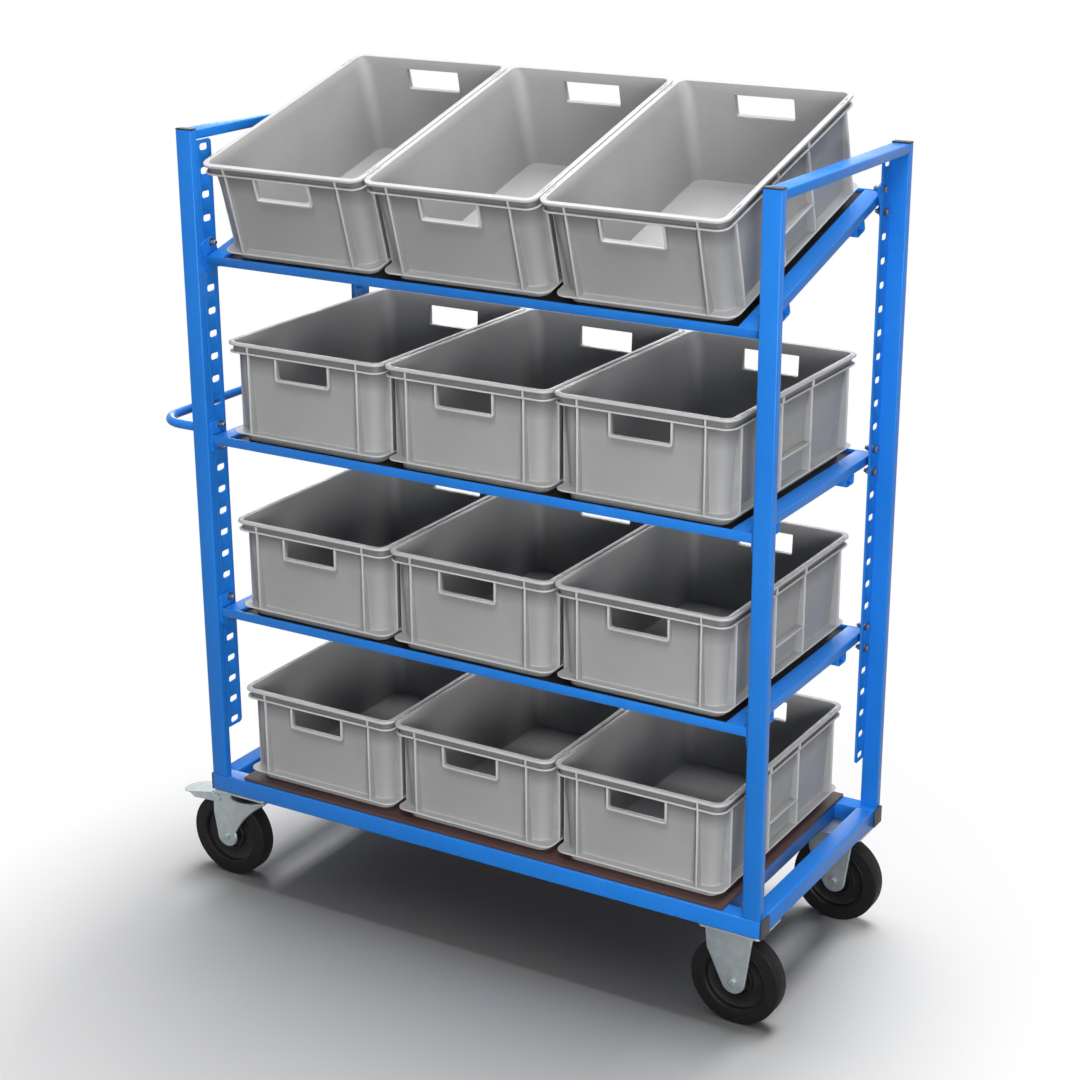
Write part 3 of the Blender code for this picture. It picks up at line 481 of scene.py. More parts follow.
def hull_outline(points):
    """Smallest convex outline round the points."""
    ordered = sorted(set(points))

    def half(run):
        kept = []
        for x, y in run:
            while len(kept) > 1:
                (ax, ay), (bx, by) = kept[-2], kept[-1]
                if (bx - ax) * (y - ay) - (by - ay) * (x - ax) > 0:
                    break
                kept.pop()
            kept.append((x, y))
        return kept[:-1]

    return half(ordered) + half(reversed(ordered))


def rounded_edges(bm, edges, width, steps, clamp=True):
    bmesh.ops.bevel(
        bm, geom=edges, offset=width, segments=steps, profile=0.5, affect="EDGES", clamp_overlap=clamp)


def softened(bm, width, angle=40, steps=2):
    """Round the edges of a bmesh that are sharper than the angle."""
    bmesh.ops.recalc_face_normals(bm, faces=bm.faces)
    sharp = [e for e in bm.edges if len(e.link_faces) == 2 and e.calc_face_angle(0) > math.radians(angle)]
    rounded_edges(bm, sharp, width, steps)
    return bm


def prism_bm(outline, start, end, holes=(), turn=Matrix(), soften=0.0):
    """Extruded outline with holes, turned, with softened edges."""
    low, high = sorted((start, end))
    bm = bmesh.new()
    edges = []
    for loop in (outline, *holes):
        verts = [bm.verts.new((x, y, low)) for x, y in loop]
        edges += [bm.edges.new((verts[i - 1], verts[i])) for i in range(len(verts))]
    if holes:
        bmesh.ops.triangle_fill(bm, edges=edges, use_beauty=True, use_dissolve=False)
    else:
        bm.faces.new(bm.verts)
    grown = bmesh.ops.extrude_face_region(bm, geom=list(bm.faces))["geom"]
    moved = [v for v in grown if isinstance(v, bmesh.types.BMVert)]
    bmesh.ops.translate(bm, verts=moved, vec=(0, 0, high - low))
    bmesh.ops.transform(bm, matrix=turn, verts=bm.verts)
    if soften:
        softened(bm, soften)
    return bm


def cube_bm(one, other):
    """Cuboid between two opposite corners."""
    low = Vector([min(pair) for pair in zip(one, other)])
    high = Vector([max(pair) for pair in zip(one, other)])
    bm = bmesh.new()
    bmesh.ops.create_cube(bm, size=1)
    place = Matrix.Translation((high + low) / 2) @ Matrix.Diagonal((*(high - low), 1))
    bmesh.ops.transform(bm, matrix=place, verts=bm.verts)
    return bm


def box_bm(one, other, soften=0.0, steps=2):
    """Cuboid with softened edges."""
    bm = cube_bm(one, other)
    if soften:
        softened(bm, soften, steps=steps)
    return bm


def loft_bm(rings, closed=False):
    """Skin over rings of points: closed in itself, or with its first and last ring filled."""
    bm = bmesh.new()
    rows = [[bm.verts.new(p) for p in ring] for ring in rings]
    pairs = list(zip(rows, rows[1:]))
    if closed:
        pairs.append((rows[-1], rows[0]))
    else:
        bm.faces.new(rows[0])
        bm.faces.new(rows[-1])
    for a, b in pairs:
        for i in range(len(a)):
            bm.faces.new((a[i - 1], a[i], b[i], b[i - 1]))
    return bm


def turned_bm(profile, steps, turn=Matrix(), closed=True):
    """Revolve (radius, height) points about Z, then turn."""
    rings = [[turn @ Vector((x, y, h)) for x, y in circle(r, steps)] for r, h in profile]
    return loft_bm(rings, closed=closed)


def merged(parts):
    """Join several bmeshes into one."""
    whole = bmesh.new()
    for part in parts:
        mesh = bpy.data.meshes.new("part")
        part.to_mesh(mesh)
        part.free()
        whole.from_mesh(mesh)
        bpy.data.meshes.remove(mesh)
    return whole


def cut_bm(base, cuts):
    """Cut tools out of a bmesh with exact Booleans."""
    meshes = []
    for bm in (base, *cuts):
        mesh = bpy.data.meshes.new("cut")
        bmesh.ops.recalc_face_normals(bm, faces=bm.faces)
        bm.to_mesh(mesh)
        bm.free()
        meshes.append(mesh)
    objs = [bpy.data.objects.new("cut", mesh) for mesh in meshes]
    for obj in objs:
        bpy.context.scene.collection.objects.link(obj)
    for tool in objs[1:]:
        step = objs[0].modifiers.new("cut", "BOOLEAN")
        step.operation = "DIFFERENCE"
        step.solver = "EXACT"
        step.object = tool
    view = bpy.context.evaluated_depsgraph_get()
    result = bpy.data.meshes.new_from_object(objs[0].evaluated_get(view))
    for obj in objs:
        bpy.data.objects.remove(obj)
    bm = bmesh.new()
    bm.from_mesh(result)
    bpy.data.meshes.remove(result)
    return bm


def bin_shell():
    """Container body: foot, skirt, tapered walls, collar, groove and rolled lip."""
    rim, wall = BIN_RADIUS, WALL_CORNER
    # Height, inset from the rim, and the inset of the corner arcs' centres
    levels = (
        (0.0000, 0.0258, wall), (0.0010, 0.0243, wall), (0.0190, 0.0220, wall),
        (0.0190, 0.0052, rim), (0.0198, 0.0042, rim), (0.0217, 0.0042, rim), (0.0225, 0.0052, rim),
        (0.0229, 0.0225, wall), (0.0250, 0.0238, wall), (0.1950, 0.0132, wall), (COLLAR_LOW, 0.0128, wall),
        (COLLAR_LOW, 0.0034, rim), (0.1974, 0.0024, rim), (0.1982, 0.0020, rim), (0.1992, 0.0020, rim),
        (0.2000, 0.0024, rim), (COLLAR_HIGH, 0.0034, rim), (COLLAR_HIGH + 0.0004, 0.0096, rim),
        (LIP_LOW - 0.0004, 0.0086, rim), (LIP_LOW, 0.0012, rim), (0.2146, 0.0004, rim),
        (0.2156, 0.0001, rim), (0.2188, 0.0001, rim), (0.2196, 0.0005, rim), (BIN_HEIGHT, 0.0012, rim),
        (BIN_HEIGHT, 0.0106, rim), (0.2197, 0.0116, rim), (0.2188, 0.0122, rim),
        (COLLAR_LOW, 0.0155, wall), (0.0110, 0.0261, wall), (0.0060, 0.0275, wall), (0.0042, 0.0315, wall))
    rings = []
    for height, inset, corner in levels:
        points = rounded_rect(BIN_WIDTH - inset * 2, BIN_LENGTH - inset * 2, corner - inset, 8)
        rings.append([(x, y, height) for x, y in points])
    return loft_bm(rings)


def wall_middle(height):
    """Inset of the middle of the wall's thickness at a height."""
    rise = (height - SKIRT_TOP) / (COLLAR_LOW - SKIRT_TOP)
    return WALL_INSET_LOW + (WALL_INSET_HIGH - WALL_INSET_LOW) * rise + WALL_THICK / 2


def rib_profile(side, reach, low, high):
    """Outline of a rib in height and reach, from its outer edge to the middle of the wall."""
    outer = side * (reach - RIB_OUT)
    return [
        (low, outer), (high, outer),
        (high, side * (reach - wall_middle(high))), (low, side * (reach - wall_middle(low)))]


def wall_ribs(side, reach, spans, turn):
    """Ribs on one wall, the inner ones with a stub across the groove."""
    rib = rib_profile(side, reach, SKIRT_TOP - 0.001, COLLAR_LOW + 0.002)
    edge, root = side * (reach - STUB_OUTER), side * (reach - STUB_INNER)
    low, high = COLLAR_HIGH - 0.002, LIP_LOW + 0.002
    stub = [(low, edge), (high, edge), (high, root), (low, root)]
    half = RIB_THICK / 2
    ribs = []
    for span in spans:
        for shape in (rib, stub) if abs(span) < STUB_LIMIT else (rib,):
            outline = [(y, z) for z, y in shape] if turn is ALONG_X else shape
            ribs.append(prism_bm(outline, span - half, span + half, turn=turn, soften=RIB_SOFT))
    return ribs


def bin_ribs():
    """Ribs of all four walls, cross ribs on the sides and the frames round the hand holds."""
    half = RIB_THICK / 2
    parts = []
    for side in SIDES:
        parts += wall_ribs(side, BIN_LENGTH / 2, END_RIB_SPANS, ALONG_X)
        parts += wall_ribs(side, BIN_WIDTH / 2, SIDE_RIB_SPANS, ALONG_Y)
        parts.append(hold_frame(side))
        rung = rib_profile(side, BIN_WIDTH / 2, CROSS_RIB_HEIGHT - half, CROSS_RIB_HEIGHT + half)
        parts.append(prism_bm(rung, -CROSS_RIB_SPAN, CROSS_RIB_SPAN, turn=ALONG_Y, soften=RIB_SOFT))
    return parts


def hold_edge(edge, low, radius):
    """One edge of a hand hold's frame as (height, across): down, round both corners and up."""
    steps = 5
    arc = []
    for i in range(steps + 1):
        a = math.pi / 2 * i / steps
        arc.append((low + radius - radius * math.cos(a), edge - radius + radius * math.sin(a)))
    high = COLLAR_LOW + 0.001
    return [(high, -edge), *[(z, -x) for z, x in reversed(arc)], *arc, (high, edge)]


def hold_frame(side):
    """U-shaped frame of a hand hold, its back in the slope of the wall."""
    half = HOLD_WIDTH / 2
    outer = hold_edge(half, HOLD_LOW, HOLD_RADIUS)
    inner = hold_edge(half - HOLD_FRAME, HOLD_LOW + HOLD_FRAME, HOLD_RADIUS * 0.6)
    near = side * (BIN_LENGTH / 2 - RIB_OUT)
    far = side * (BIN_LENGTH / 2 - WALL_INSET_LOW)
    bm = prism_bm(outer + inner[::-1], near, far, turn=ALONG_Y)
    for vert in bm.verts:
        if abs(vert.co.y) < abs(near) - RIB_OUT:
            vert.co.y = side * (BIN_LENGTH / 2 - wall_middle(vert.co.z))
    return softened(bm, RIB_SOFT)


def container_cuts():
    """Tools for the slots in the rim and for the hand holds."""
    cuts = []
    for side in SIDES:
        middle = side * (BIN_WIDTH / 2 - RIM_SLOT_INSET)
        for end in SIDES:
            for start in RIM_SLOT_STARTS:
                stop = start + RIM_SLOT_LENGTH
                cuts.append(box_bm(
                    (middle - RIM_SLOT_WIDTH / 2, end * start, BIN_HEIGHT - RIM_SLOT_DEPTH),
                    (middle + RIM_SLOT_WIDTH / 2, end * stop, BIN_HEIGHT + RIM_SLOT_DEPTH)))
    half = HOLD_WIDTH / 2 - HOLD_FRAME / 2
    for side in SIDES:
        cuts.append(box_bm(
            (-half, side * (BIN_LENGTH / 2 - HOLD_CUT_OUTER), HOLD_LOW + HOLD_FRAME / 2),
            (half, side * (BIN_LENGTH / 2 - HOLD_CUT_INNER), COLLAR_LOW + 0.0003)))
    return cuts


def container_mesh():
    """One moulded container about the middle of its underside."""
    shell = cut_bm(bin_shell(), container_cuts())
    return finish_mesh(merged([shell, *bin_ribs()]), "container")


def level_matrix(name):
    """Frame of a level: the middle of its surface, X along the level."""
    if name == "deck":
        return Matrix.Translation((MIDDLE.x, MIDDLE.y, deck_high.z))
    axis = Vector(mounts["goods_floor_" + name + "_middle"]["axis"])
    spot = node_middle("shelf_board_" + name) + axis * BOARD_THICK / 2
    return Matrix.Translation(spot) @ Matrix.Rotation(math.atan2(-axis.y, axis.z), 4, "X")


def seated(mesh, node, turn):
    """Place of a turned mesh whose box has the same middle as the node's."""
    spots = [turn @ vert.co for vert in mesh.vertices]
    middle = Vector([(min(s[i] for s in spots) + max(s[i] for s in spots)) / 2 for i in range(3)])
    return Matrix.Translation(node_middle(node) - middle) @ turn


def dress_containers():
    mesh = container_mesh()
    for level in ("deck", "lower", "upper", "top"):
        turn = level_matrix(level).to_3x3().to_4x4()
        for hand in ("left", "middle", "right"):
            node = "bin_" + level + "_" + hand
            place = seated(mesh, node, turn)
            add_piece("container_" + level + "_" + hand, mesh, "container_grey", node, place, [node])


def dress_tubes():
    """Square and flat tubes with rounded long edges."""
    names = [n for n in frame["nodes"] if n.startswith(
        ("base_tube", "end_rail", "cross_bar", "upright_front", "upright_rear", "top_rail"))]
    for node in names:
        low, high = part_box(node)
        size = high - low
        long_way = max(range(3), key=lambda i: size[i])
        bm = cube_bm(low, high)
        runs = [e for e in bm.edges if abs((e.verts[0].co - e.verts[1].co)[long_way]) > size[long_way] / 2]
        rounded_edges(bm, runs, TUBE_RADIUS, 5, clamp=False)
        softened(bm, SEAM_RADIUS, 60, 2)
        add_piece("tube_" + node, finish_mesh(bm, node), "paint_blue", "frame", nodes=[node])


def dress_caps():
    """Moulded caps with rounded heads: on top of the uprights and in the ends of the base tubes."""
    for node in [n for n in frame["nodes"] if "_cap_" in n]:
        low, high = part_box(node)
        if node.startswith("upright"):
            look = "cap_black"
            head = box_bm((low.x, low.y, high.z - UPRIGHT_CAP_HEAD), high, 0.0012, 3)
        else:
            look = "cap_grey"
            outward = 1 if low.x > MIDDLE.x else -1
            outer = high.x if outward > 0 else low.x
            inner = outer - outward * TUBE_CAP_HEAD
            head = box_bm((inner, low.y, low.z), (outer, high.y, high.z), 0.0022, 4)
        add_piece("cap_" + node, finish_mesh(head, node), look, "frame", nodes=[node])


def dress_boards():
    """Film-faced boards with slightly eased edges."""
    deck = finish_mesh(box_bm(deck_low, deck_high, 0.0008), "deck")
    add_piece("deck_board", deck, "board_brown", "frame", nodes=["deck"])
    half_x = SIDE_RAIL_REACH - SIDE_RAIL_WIDTH - BOARD_GAP
    half_y = SHELF_DEPTH / 2 - RAIL_THICK - BOARD_GAP
    under = LEDGE_TOP + BOARD_GAP
    mesh = finish_mesh(box_bm((-half_x, -half_y, under), (half_x, half_y, 0), 0.0006), "board")
    for level in ("lower", "upper", "top"):
        place = level_matrix(level)
        add_piece("board_" + level, mesh, "board_black", "frame", place, ["shelf_board_" + level])


def strip_outline(edge, free, low, high):
    """Strip in depth and height, welded at one edge and with round corners at the free one."""
    away = 1 if edge > free else -1
    outline = [(edge, low), (edge, high)]
    for z, up in ((high, 1), (low, -1)):
        arc = []
        for i in range(7):
            a = math.pi / 2 * i / 6
            y = free + away * (STRIP_CORNER - STRIP_CORNER * math.sin(a))
            arc.append((y, z - up * (STRIP_CORNER - STRIP_CORNER * math.cos(a))))
        outline += arc if up > 0 else arc[::-1]
    return outline


def dress_strips():
    """Perforated strips with true slot corners."""
    for node in [n for n in frame["nodes"] if n.startswith("strip_")]:
        low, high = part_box(node)
        rear = 1 if (low.y + high.y) / 2 > MIDDLE.y else -1
        edge, free = (high.y, low.y) if rear > 0 else (low.y, high.y)
        outline = strip_outline(edge, free, low.z, high.z)
        holes = []
        for i in range(STRIP_HOLES):
            centre = (edge - rear * HOLE_SETBACK, high.z - STRIP_MARGIN - STRIP_PITCH * i)
            holes.append(rounded_rect(HOLE_WIDTH, HOLE_HEIGHT, HOLE_RADIUS, 5, centre))
        bm = prism_bm(outline, low.x, high.x, holes, ALONG_X, 0.0004)
        add_piece("perforated_" + node, finish_mesh(bm, node), "paint_blue", "frame", nodes=[node])


def angle_rail(side):
    """Front or rear rail with the ledge that the board lies on."""
    face, back = side * SHELF_DEPTH / 2, side * (SHELF_DEPTH / 2 - RAIL_THICK)
    lip = side * (SHELF_DEPTH / 2 - LEDGE_WIDTH)
    section = [
        (face, SHELF_RISE), (face, RAIL_LOW), (lip, RAIL_LOW), (lip, LEDGE_TOP), (back, LEDGE_TOP),
        (back, SHELF_RISE)]
    return prism_bm(section, -SHELF_LENGTH / 2, SHELF_LENGTH / 2, turn=ALONG_X, soften=0.0008)


def stiffener(side):
    """Hollow tube under the board, through both side rails."""
    centre = (side * STIFFENER_SPAN, LEDGE_TOP - STIFFENER_HEIGHT / 2)
    width, height, radius = STIFFENER_WIDTH, STIFFENER_HEIGHT, STIFFENER_RADIUS
    outer = rounded_rect(width, height, radius, 5, centre)
    wall = STIFFENER_WALL
    bore = rounded_rect(width - wall * 2, height - wall * 2, radius - wall, 5, centre)
    return prism_bm(outer, -SIDE_RAIL_REACH, SIDE_RAIL_REACH, [bore], ALONG_X, 0.0003)


def shelf_mesh():
    """Welded shelf frame about its board's top: angle rails, side rails, stiffeners and ears."""
    parts = [angle_rail(side) for side in SIDES]
    reach = SHELF_DEPTH / 2 - RAIL_THICK
    for end in SIDES:
        inner, outer = end * (SIDE_RAIL_REACH - SIDE_RAIL_WIDTH), end * SIDE_RAIL_REACH
        parts.append(box_bm((inner, -reach, RAIL_LOW), (outer, reach, SHELF_RISE), 0.0022, 4))
    parts += [stiffener(side) for side in SIDES]
    for end in SIDES:
        for side in SIDES:
            centre = (side * (SHELF_DEPTH / 2 - EAR_WIDTH / 2), 0)
            outline = rounded_rect(EAR_WIDTH, EAR_HEIGHT, EAR_RADIUS, 6, centre)
            faces = (end * (EAR_OUTER - EAR_THICK), end * EAR_OUTER)
            parts.append(prism_bm(outline, *faces, turn=ALONG_X, soften=0.0007))
    return finish_mesh(merged(parts), "shelf_frame")


def thread_bm(end):
    """Ridged end of a bolt, from the height of its end upwards."""
    ridges = []
    for i in range(THREAD_STEPS):
        rise = THREAD_DEPTH if i % 2 else 0
        ridges.append((BOLT_RADIUS + rise, end + (i + 1) * THREAD_STEP))
    return turned_bm([(BOLT_RADIUS - 0.0006, end - 0.0002), *ridges], 20, closed=False)


def bolt_mesh():
    """Hexagon bolt along +Z: head outside the strip, shank, washers, nut and thread inside the ear."""
    seat = EAR_OUTER - EAR_THICK
    face = STRIP_REACH + STRIP_THICK
    head, nut = face + WASHER_THICK, seat - WASHER_THICK
    hexagon = circle(HEX_RADIUS, 6)
    parts = [
        turned_bm([(BOLT_RADIUS, seat - BOLT_TAIL), (BOLT_RADIUS, face)], 20, closed=False),
        turned_bm([(WASHER_RADIUS, face), (WASHER_RADIUS, head)], 32, closed=False),
        prism_bm(hexagon, head, head + HEAD_HEIGHT, soften=0.0006),
        turned_bm([(WASHER_RADIUS, nut), (WASHER_RADIUS, seat)], 32, closed=False),
        prism_bm(hexagon, nut - NUT_HEIGHT, nut, soften=0.0006),
        thread_bm(seat - BOLT_TAIL)]
    return finish_mesh(merged(parts), "bolt")


def dress_shelves():
    frame_mesh = shelf_mesh()
    bolt = bolt_mesh()
    for level in ("lower", "upper", "top"):
        place = level_matrix(level)
        add_piece("shelf_" + level, frame_mesh, "paint_blue", "frame", place, ["shelf_frame_" + level])
        for end, hand in zip(SIDES, ("left", "right")):
            for side, row in zip(SIDES, ("front", "rear")):
                for up, height in zip(SIDES, ("low", "high")):
                    spot = Matrix.Translation((0, side * BOLT_REACH, up * STRIP_PITCH / 2))
                    turn = Matrix.Rotation(math.pi / 2 * end, 4, "Y")
                    name = "_".join(("bolt", level, row, hand, height))
                    add_piece(name, bolt, "bolt_zinc", "frame", place @ spot @ turn)


def dress_handle():
    """Smooth bent tube."""
    low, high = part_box("push_handle")
    radius = (high.z - low.z) / 2
    y0, y1 = low.y + radius, high.y - radius
    grip = low.x + radius
    path = [(high.x, y0, (-1, 0))]
    for side, y in ((-1, y0), (1, y1)):
        for i in range(13):
            a = math.pi / 2 * (i / 12 if side < 0 else 1 - i / 12)
            x = grip + HANDLE_BEND - HANDLE_BEND * math.sin(a)
            aside = HANDLE_BEND - HANDLE_BEND * math.cos(a)
            path.append((x, y - side * aside, (side * math.cos(a), math.sin(a))))
    path.append((high.x, y1, (1, 0)))
    height = (low.z + high.z) / 2
    rings = []
    for x, y, (dx, dy) in path:
        spot, across = Vector((x, y, height)), Vector((-dy, dx, 0))
        rings.append([spot + across * u + Vector((0, 0, v)) for u, v in circle(radius, 32)])
    mesh = finish_mesh(loft_bm(rings), "grip")
    add_piece("grip_tube", mesh, "paint_blue", "frame", nodes=["push_handle"])


def tyre_mesh(radius, inner):
    """Tyre about Y with a crisp shoulder."""
    half = TYRE_HALF
    profile = [
        (inner, -half + 0.0012), (inner + 0.0012, -half), (radius - 0.0042, -half),
        (radius - 0.0024, -half + 0.0004), (radius - 0.0008, -half + 0.0016), (radius, -half + 0.0040)]
    profile += [(r, -h) for r, h in reversed(profile)]
    return finish_mesh(turned_bm(profile, 96, ALONG_Y), "tyre", 40)


def hub_mesh(inner, hub_half):
    """Plastic wheel centre: rim, deep web, collar and hub."""
    profile = [
        (inner - 0.0003, -0.0180), (inner - 0.0014, -0.0185), (inner - 0.0026, -0.0178),
        (inner - 0.0045, -0.0080), (inner - 0.0085, -0.0060),
        (0.0440, -0.0050), (0.0392, -0.0064), (0.0378, -0.0150), (0.0368, -0.0162),
        (0.0345, -0.0162), (0.0335, -0.0150), (0.0325, -0.0080), (HUB_RADIUS + 0.001, -0.0080),
        (HUB_RADIUS - 0.0008, -hub_half + 0.001), (HUB_RADIUS - 0.002, -hub_half), (HUB_BORE, -hub_half)]
    profile += [(r, -h) for r, h in reversed(profile)]
    return finish_mesh(turned_bm(profile, 72, ALONG_Y), "hub", 40)


def dress_wheels():
    for node in [n for n in frame["nodes"] if n.startswith("wheel_")]:
        low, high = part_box(node)
        place = Matrix.Translation((low + high) / 2)
        radius = (high.z - low.z) / 2
        inner = radius - TYRE_DEPTH
        add_piece("tyre_" + node, tyre_mesh(radius, inner), "wheel_rubber", node, place, [node])
        hub = hub_mesh(inner, (high.y - low.y) / 2)
        add_piece("hub_" + node, hub, "wheel_hub", node, place)


def leg_bms(outline):
    """Two pressed legs from an outline of (height, reach) points about the axle."""
    inner = LEG_SPREAD / 2
    legs = []
    for side in SIDES:
        leg = prism_bm(outline, side * inner, side * (inner + LEG_THICK), turn=ALONG_Y)
        bmesh.ops.recalc_face_normals(leg, faces=leg.faces)
        rims = [e for e in leg.edges if min(abs(v.co.y) for v in e.verts) > inner + LEG_THICK / 2]
        rounded_edges(leg, rims, LEG_BEND, 6)
        legs.append(leg)
    return legs


def fork_outline(top):
    """Leg of a swivel fork about the axle: straight on one side, swept up to the crown on the other."""
    turns = [math.radians(FORK_TIP_START + FORK_TIP_TURN * i / 32) for i in range(33)]
    tip = [(LEG_TIP_RADIUS * math.sin(a), LEG_TIP_RADIUS * math.cos(a)) for a in turns]
    start, pull, end = Vector(tip[-1]), Vector(FORK_PULL), Vector((top - 0.005, FORK_BACK))
    sweep = []
    for i in range(1, 13):
        t = i / 12
        sweep.append(tuple(start * (1 - t) ** 2 + pull * 2 * t * (1 - t) + end * t ** 2))
    return [(top, -0.034), (0.053, -0.036), *tip, *sweep, (top, FORK_BACK)]


def axle_mesh():
    """Axle bolt: shank with a washer and a hexagon on each side."""
    face = LEG_SPREAD / 2 + LEG_THICK
    ends = [(AXLE_RADIUS, -face - AXLE_TAIL), (AXLE_RADIUS, face + AXLE_TAIL)]
    parts = [turned_bm(ends, 24, ALONG_Y, False)]
    for side in SIDES:
        rim = sorted((side * face, side * (face + AXLE_WASHER_THICK)))
        washer = [(AXLE_WASHER_RADIUS, height) for height in rim]
        parts.append(turned_bm(washer, 36, ALONG_Y, False))
        nut = (side * (face + AXLE_WASHER_THICK), side * (face + AXLE_NUT_TOP))
        parts.append(prism_bm(circle(AXLE_NUT_RADIUS, 6), *nut, turn=ALONG_Y, soften=0.0006))
    return finish_mesh(merged(parts), "axle")


def plate_bm(length, width, low, high):
    """Castor top plate with eased edges."""
    return prism_bm(rounded_rect(length, width, PLATE_RADIUS, 6), low, high, soften=0.0008)


def dress_castors():
    axle = axle_mesh()
    for row in ("front", "rear"):
        for node, body in (("axle_swivel_" + row, "swivel_" + row), ("axle_fixed_" + row, "frame")):
            place = Matrix.Translation(node_middle(node))
            add_piece("bolt_" + node, axle, "zinc_steel", body, place, [node])
        dress_fixed(row)
        dress_top_plate(row)
        dress_fork(row)


def dress_fixed(row):
    """Bracket of a fixed castor: a plate with two tapered legs."""
    node = "bracket_" + row
    low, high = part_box(node)
    axle = node_middle("axle_fixed_" + row)
    under = high.z - PLATE_THICK - axle.z
    legs = leg_bms(hull_outline(
        [(under + 0.002, 0.045), (under + 0.002, -0.068), (0.066, -0.062)] + circle(LEG_TIP_RADIUS, 40)))
    plate = plate_bm(high.x - low.x, high.y - low.y, under, high.z - axle.z)
    shift = ((low.x + high.x) / 2 - axle.x, (low.y + high.y) / 2 - axle.y, 0)
    bmesh.ops.translate(plate, verts=plate.verts, vec=shift)
    mesh = finish_mesh(merged([*legs, plate]), node)
    add_piece("pressed_" + node, mesh, "zinc_steel", "frame", Matrix.Translation(axle), [node])


def dress_top_plate(row):
    """Top plate of a swivel castor with the bearing race under it, the race coloured black as painted shade
    in the gap.
    """
    node = "castor_plate_" + row
    low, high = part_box(node)
    under = high.z - PLATE_THICK
    plate = plate_bm(high.x - low.x, high.y - low.y, under, high.z)
    race = turned_bm([
        (0.0365, low.z), (0.038, low.z + 0.0015), (0.038, under - 0.0015), (0.036, under)], 48, closed=False)
    axis = node_middle(node)
    place = Matrix.Translation((axis.x, axis.y, 0))
    add_piece("top_plate_" + row, finish_mesh(plate, "plate"), "zinc_steel", "frame", place, [node])
    # Real bearing race, its black colour painted shade of the gap between plate and crown
    add_piece("race_" + row, finish_mesh(race, "race"), "cap_black", "frame", place)


def dress_fork(row):
    """Fork of a swivel castor with its round crown, a black ring on the crown and the pedal's look."""
    node, body = "fork_" + row, "swivel_" + row
    axle = node_middle("axle_swivel_" + row)
    place = Matrix.Translation(axle)
    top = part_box(node)[1].z - axle.z
    low = top - CROWN_HEIGHT
    crown = turned_bm([
        (0.054, low), (0.055, low + 0.001), (0.055, low + 0.0036), (0.0525, low + 0.005),
        (0.034, low + 0.0058), (0.030, low + 0.008), (0.030, top)], 56, closed=False)
    ring = turned_bm([
        (0.0340, low + 0.0059), (0.0520, low + 0.0052), (0.0515, low + 0.0060), (0.0340, low + 0.0068)], 56)
    for bm in (crown, ring):
        bmesh.ops.translate(bm, verts=bm.verts, vec=(TRAIL, 0, 0))
    add_piece("dust_ring_" + row, finish_mesh(ring, "ring"), "cap_black", body, place)
    mesh = finish_mesh(merged([*leg_bms(fork_outline(low + 0.0025)), crown]), "fork")
    add_piece("pressed_fork_" + row, mesh, "zinc_steel", body, place, [node])
    pedal = frame["nodes"]["brake_pedal_" + row].data.materials
    pedal.clear()
    pedal.append(LOOKS["zinc_steel"])


def floor_material():
    """Pale floor that stays white far away and keeps the trolley's shadow close by."""
    n = new_look("floor")
    n.tree.nodes.remove(n.tree.nodes["Principled BSDF"])
    seen = n.add("ShaderNodeBsdfDiffuse", Color=(0.94, 0.94, 0.94, 1))
    unseen = n.add("ShaderNodeBsdfDiffuse", Color=(0.12, 0.12, 0.12, 1))
    glow = n.add("ShaderNodeEmission", Color=(1, 1, 1, 1), Strength=1.0)
    oval = n.add("ShaderNodeMapping", {"Vector": n.place}, Location=(0, 0.32, 0), Scale=(1.15, 0.8, 1))
    gap = n.add("ShaderNodeVectorMath", {0: oval.outputs[0]}, operation="LENGTH").outputs["Value"]
    far = n.ramp(gap, 0.85, 1.4, 0.0, 1.0)
    lit = n.add("ShaderNodeMixShader", {0: far, 1: seen.outputs[0], 2: glow.outputs[0]})
    both = n.add("ShaderNodeMixShader", {0: n.plain_sight(), 1: unseen.outputs[0], 2: lit.outputs[0]})
    n.feed(n.tree.nodes["Material Output"].inputs["Surface"], both.outputs[0])
    return n.owner


def surroundings():
    """Diffuse light comes from above only; the camera and reflections see plain white."""
    n = Nodes(bpy.data.worlds.new("surroundings"))
    up = n.add("ShaderNodeSeparateXYZ", {0: n.spots["Generated"]}).outputs["Z"]
    dome = n.ramp(up, DOME_START, 1.0, 0.0, DOME_STRENGTH)
    background = n.tree.nodes["Background"].inputs
    n.feed(background["Strength"], n.math("MAXIMUM", dome, n.plain_sight()))
    n.feed(background["Color"], (1, 1, 1))
    return n.owner


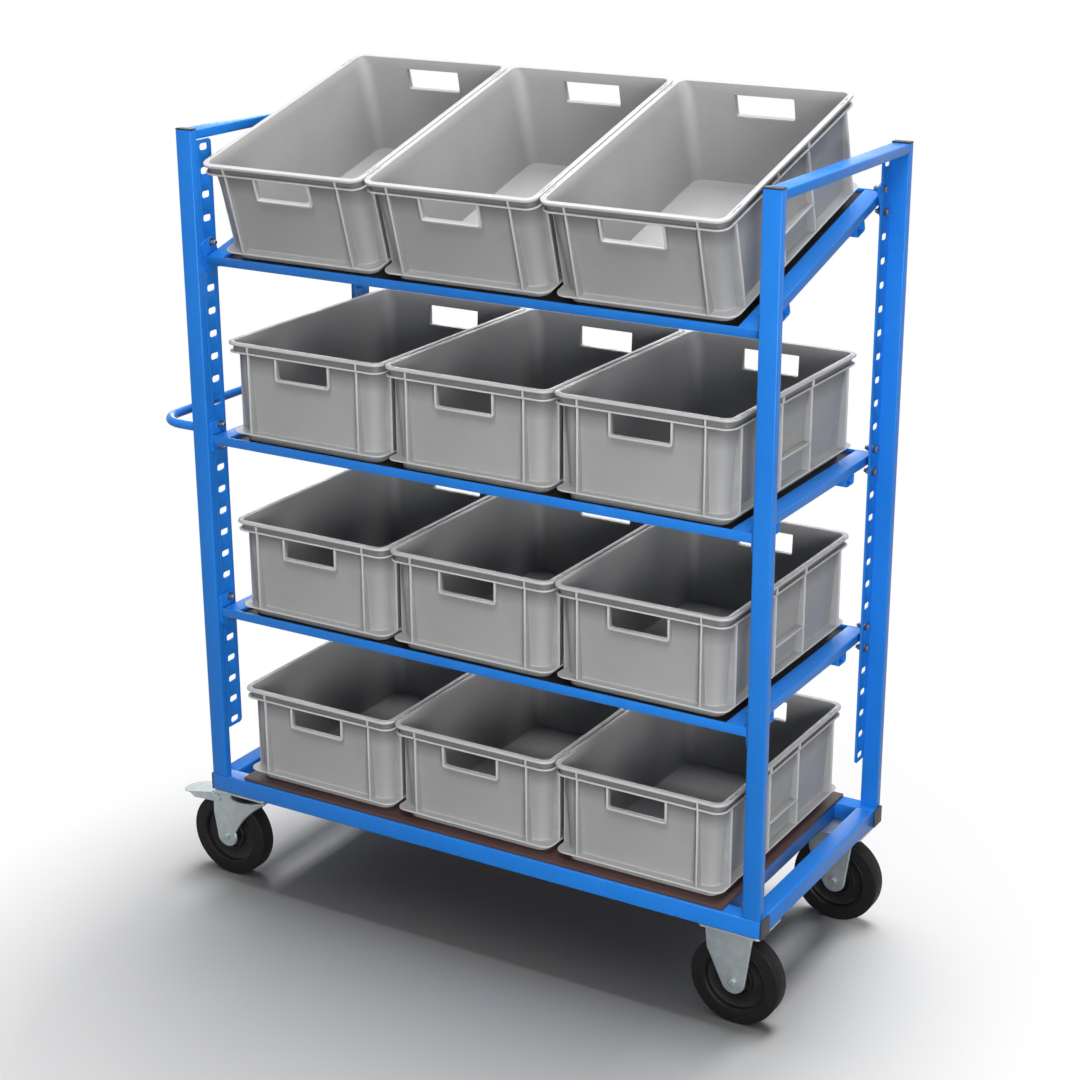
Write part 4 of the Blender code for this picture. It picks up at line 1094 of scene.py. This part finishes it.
def add_light(name, spot, size, power):
    """Soft square lamp, placed about the frame's middle and aimed at the trolley."""
    lamp = bpy.data.lights.new(name, "AREA")
    lamp.shape = "SQUARE"
    lamp.size = size
    lamp.energy = power
    obj = bpy.data.objects.new(name, lamp)
    bpy.context.scene.collection.objects.link(obj)
    obj.location = MIDDLE + Vector(spot)
    obj.rotation_euler = (Vector(LAMP_AIM) - Vector(spot)).to_track_quat("-Z", "Y").to_euler()
    return obj


def build_stage():
    """Floor, lamps and surroundings. Of the lamps only the key lights the floor, for a clear shadow."""
    bm = bmesh.new()
    bmesh.ops.create_grid(bm, x_segments=1, y_segments=1, size=60)
    floor = bpy.data.objects.new("floor", finish_mesh(bm, "floor"))
    bpy.context.scene.collection.objects.link(floor)
    floor.location = (MIDDLE.x, MIDDLE.y, -0.0002)
    floor.data.materials.append(floor_material())
    apart = bpy.data.collections.new("keeps_key_shadow")
    apart.objects.link(floor)
    apart.collection_objects[0].light_linking.link_state = "EXCLUDE"
    for lamp in LAMPS:
        obj = add_light(*lamp)
        if obj.name != "key":
            obj.light_linking.receiver_collection = apart
    bpy.context.scene.world = surroundings()


def build_camera():
    lens = bpy.data.cameras.new("camera")
    lens.sensor_fit = "HORIZONTAL"
    lens.sensor_width = 36
    lens.lens = CAMERA_LENS
    lens.shift_x, lens.shift_y = CAMERA_SHIFT
    lens.clip_end = 200
    camera = bpy.data.objects.new("camera", lens)
    bpy.context.scene.collection.objects.link(camera)
    heading = Matrix.Rotation(CAMERA_AZIMUTH, 4, "Z")
    tilt = Matrix.Rotation(math.pi / 2 - CAMERA_FALL, 4, "X") @ Matrix.Rotation(CAMERA_ROLL, 4, "Z")
    camera.matrix_world = Matrix.Translation(MIDDLE + Vector(CAMERA_SPOT)) @ heading @ tilt
    bpy.context.scene.camera = camera


dress_tubes()
dress_caps()
dress_boards()
dress_strips()
dress_shelves()
dress_handle()
dress_containers()
dress_wheels()
dress_castors()
build_stage()
build_camera()
bpy.context.scene.view_settings.view_transform = "Standard"

bpy.context.view_layer.update()
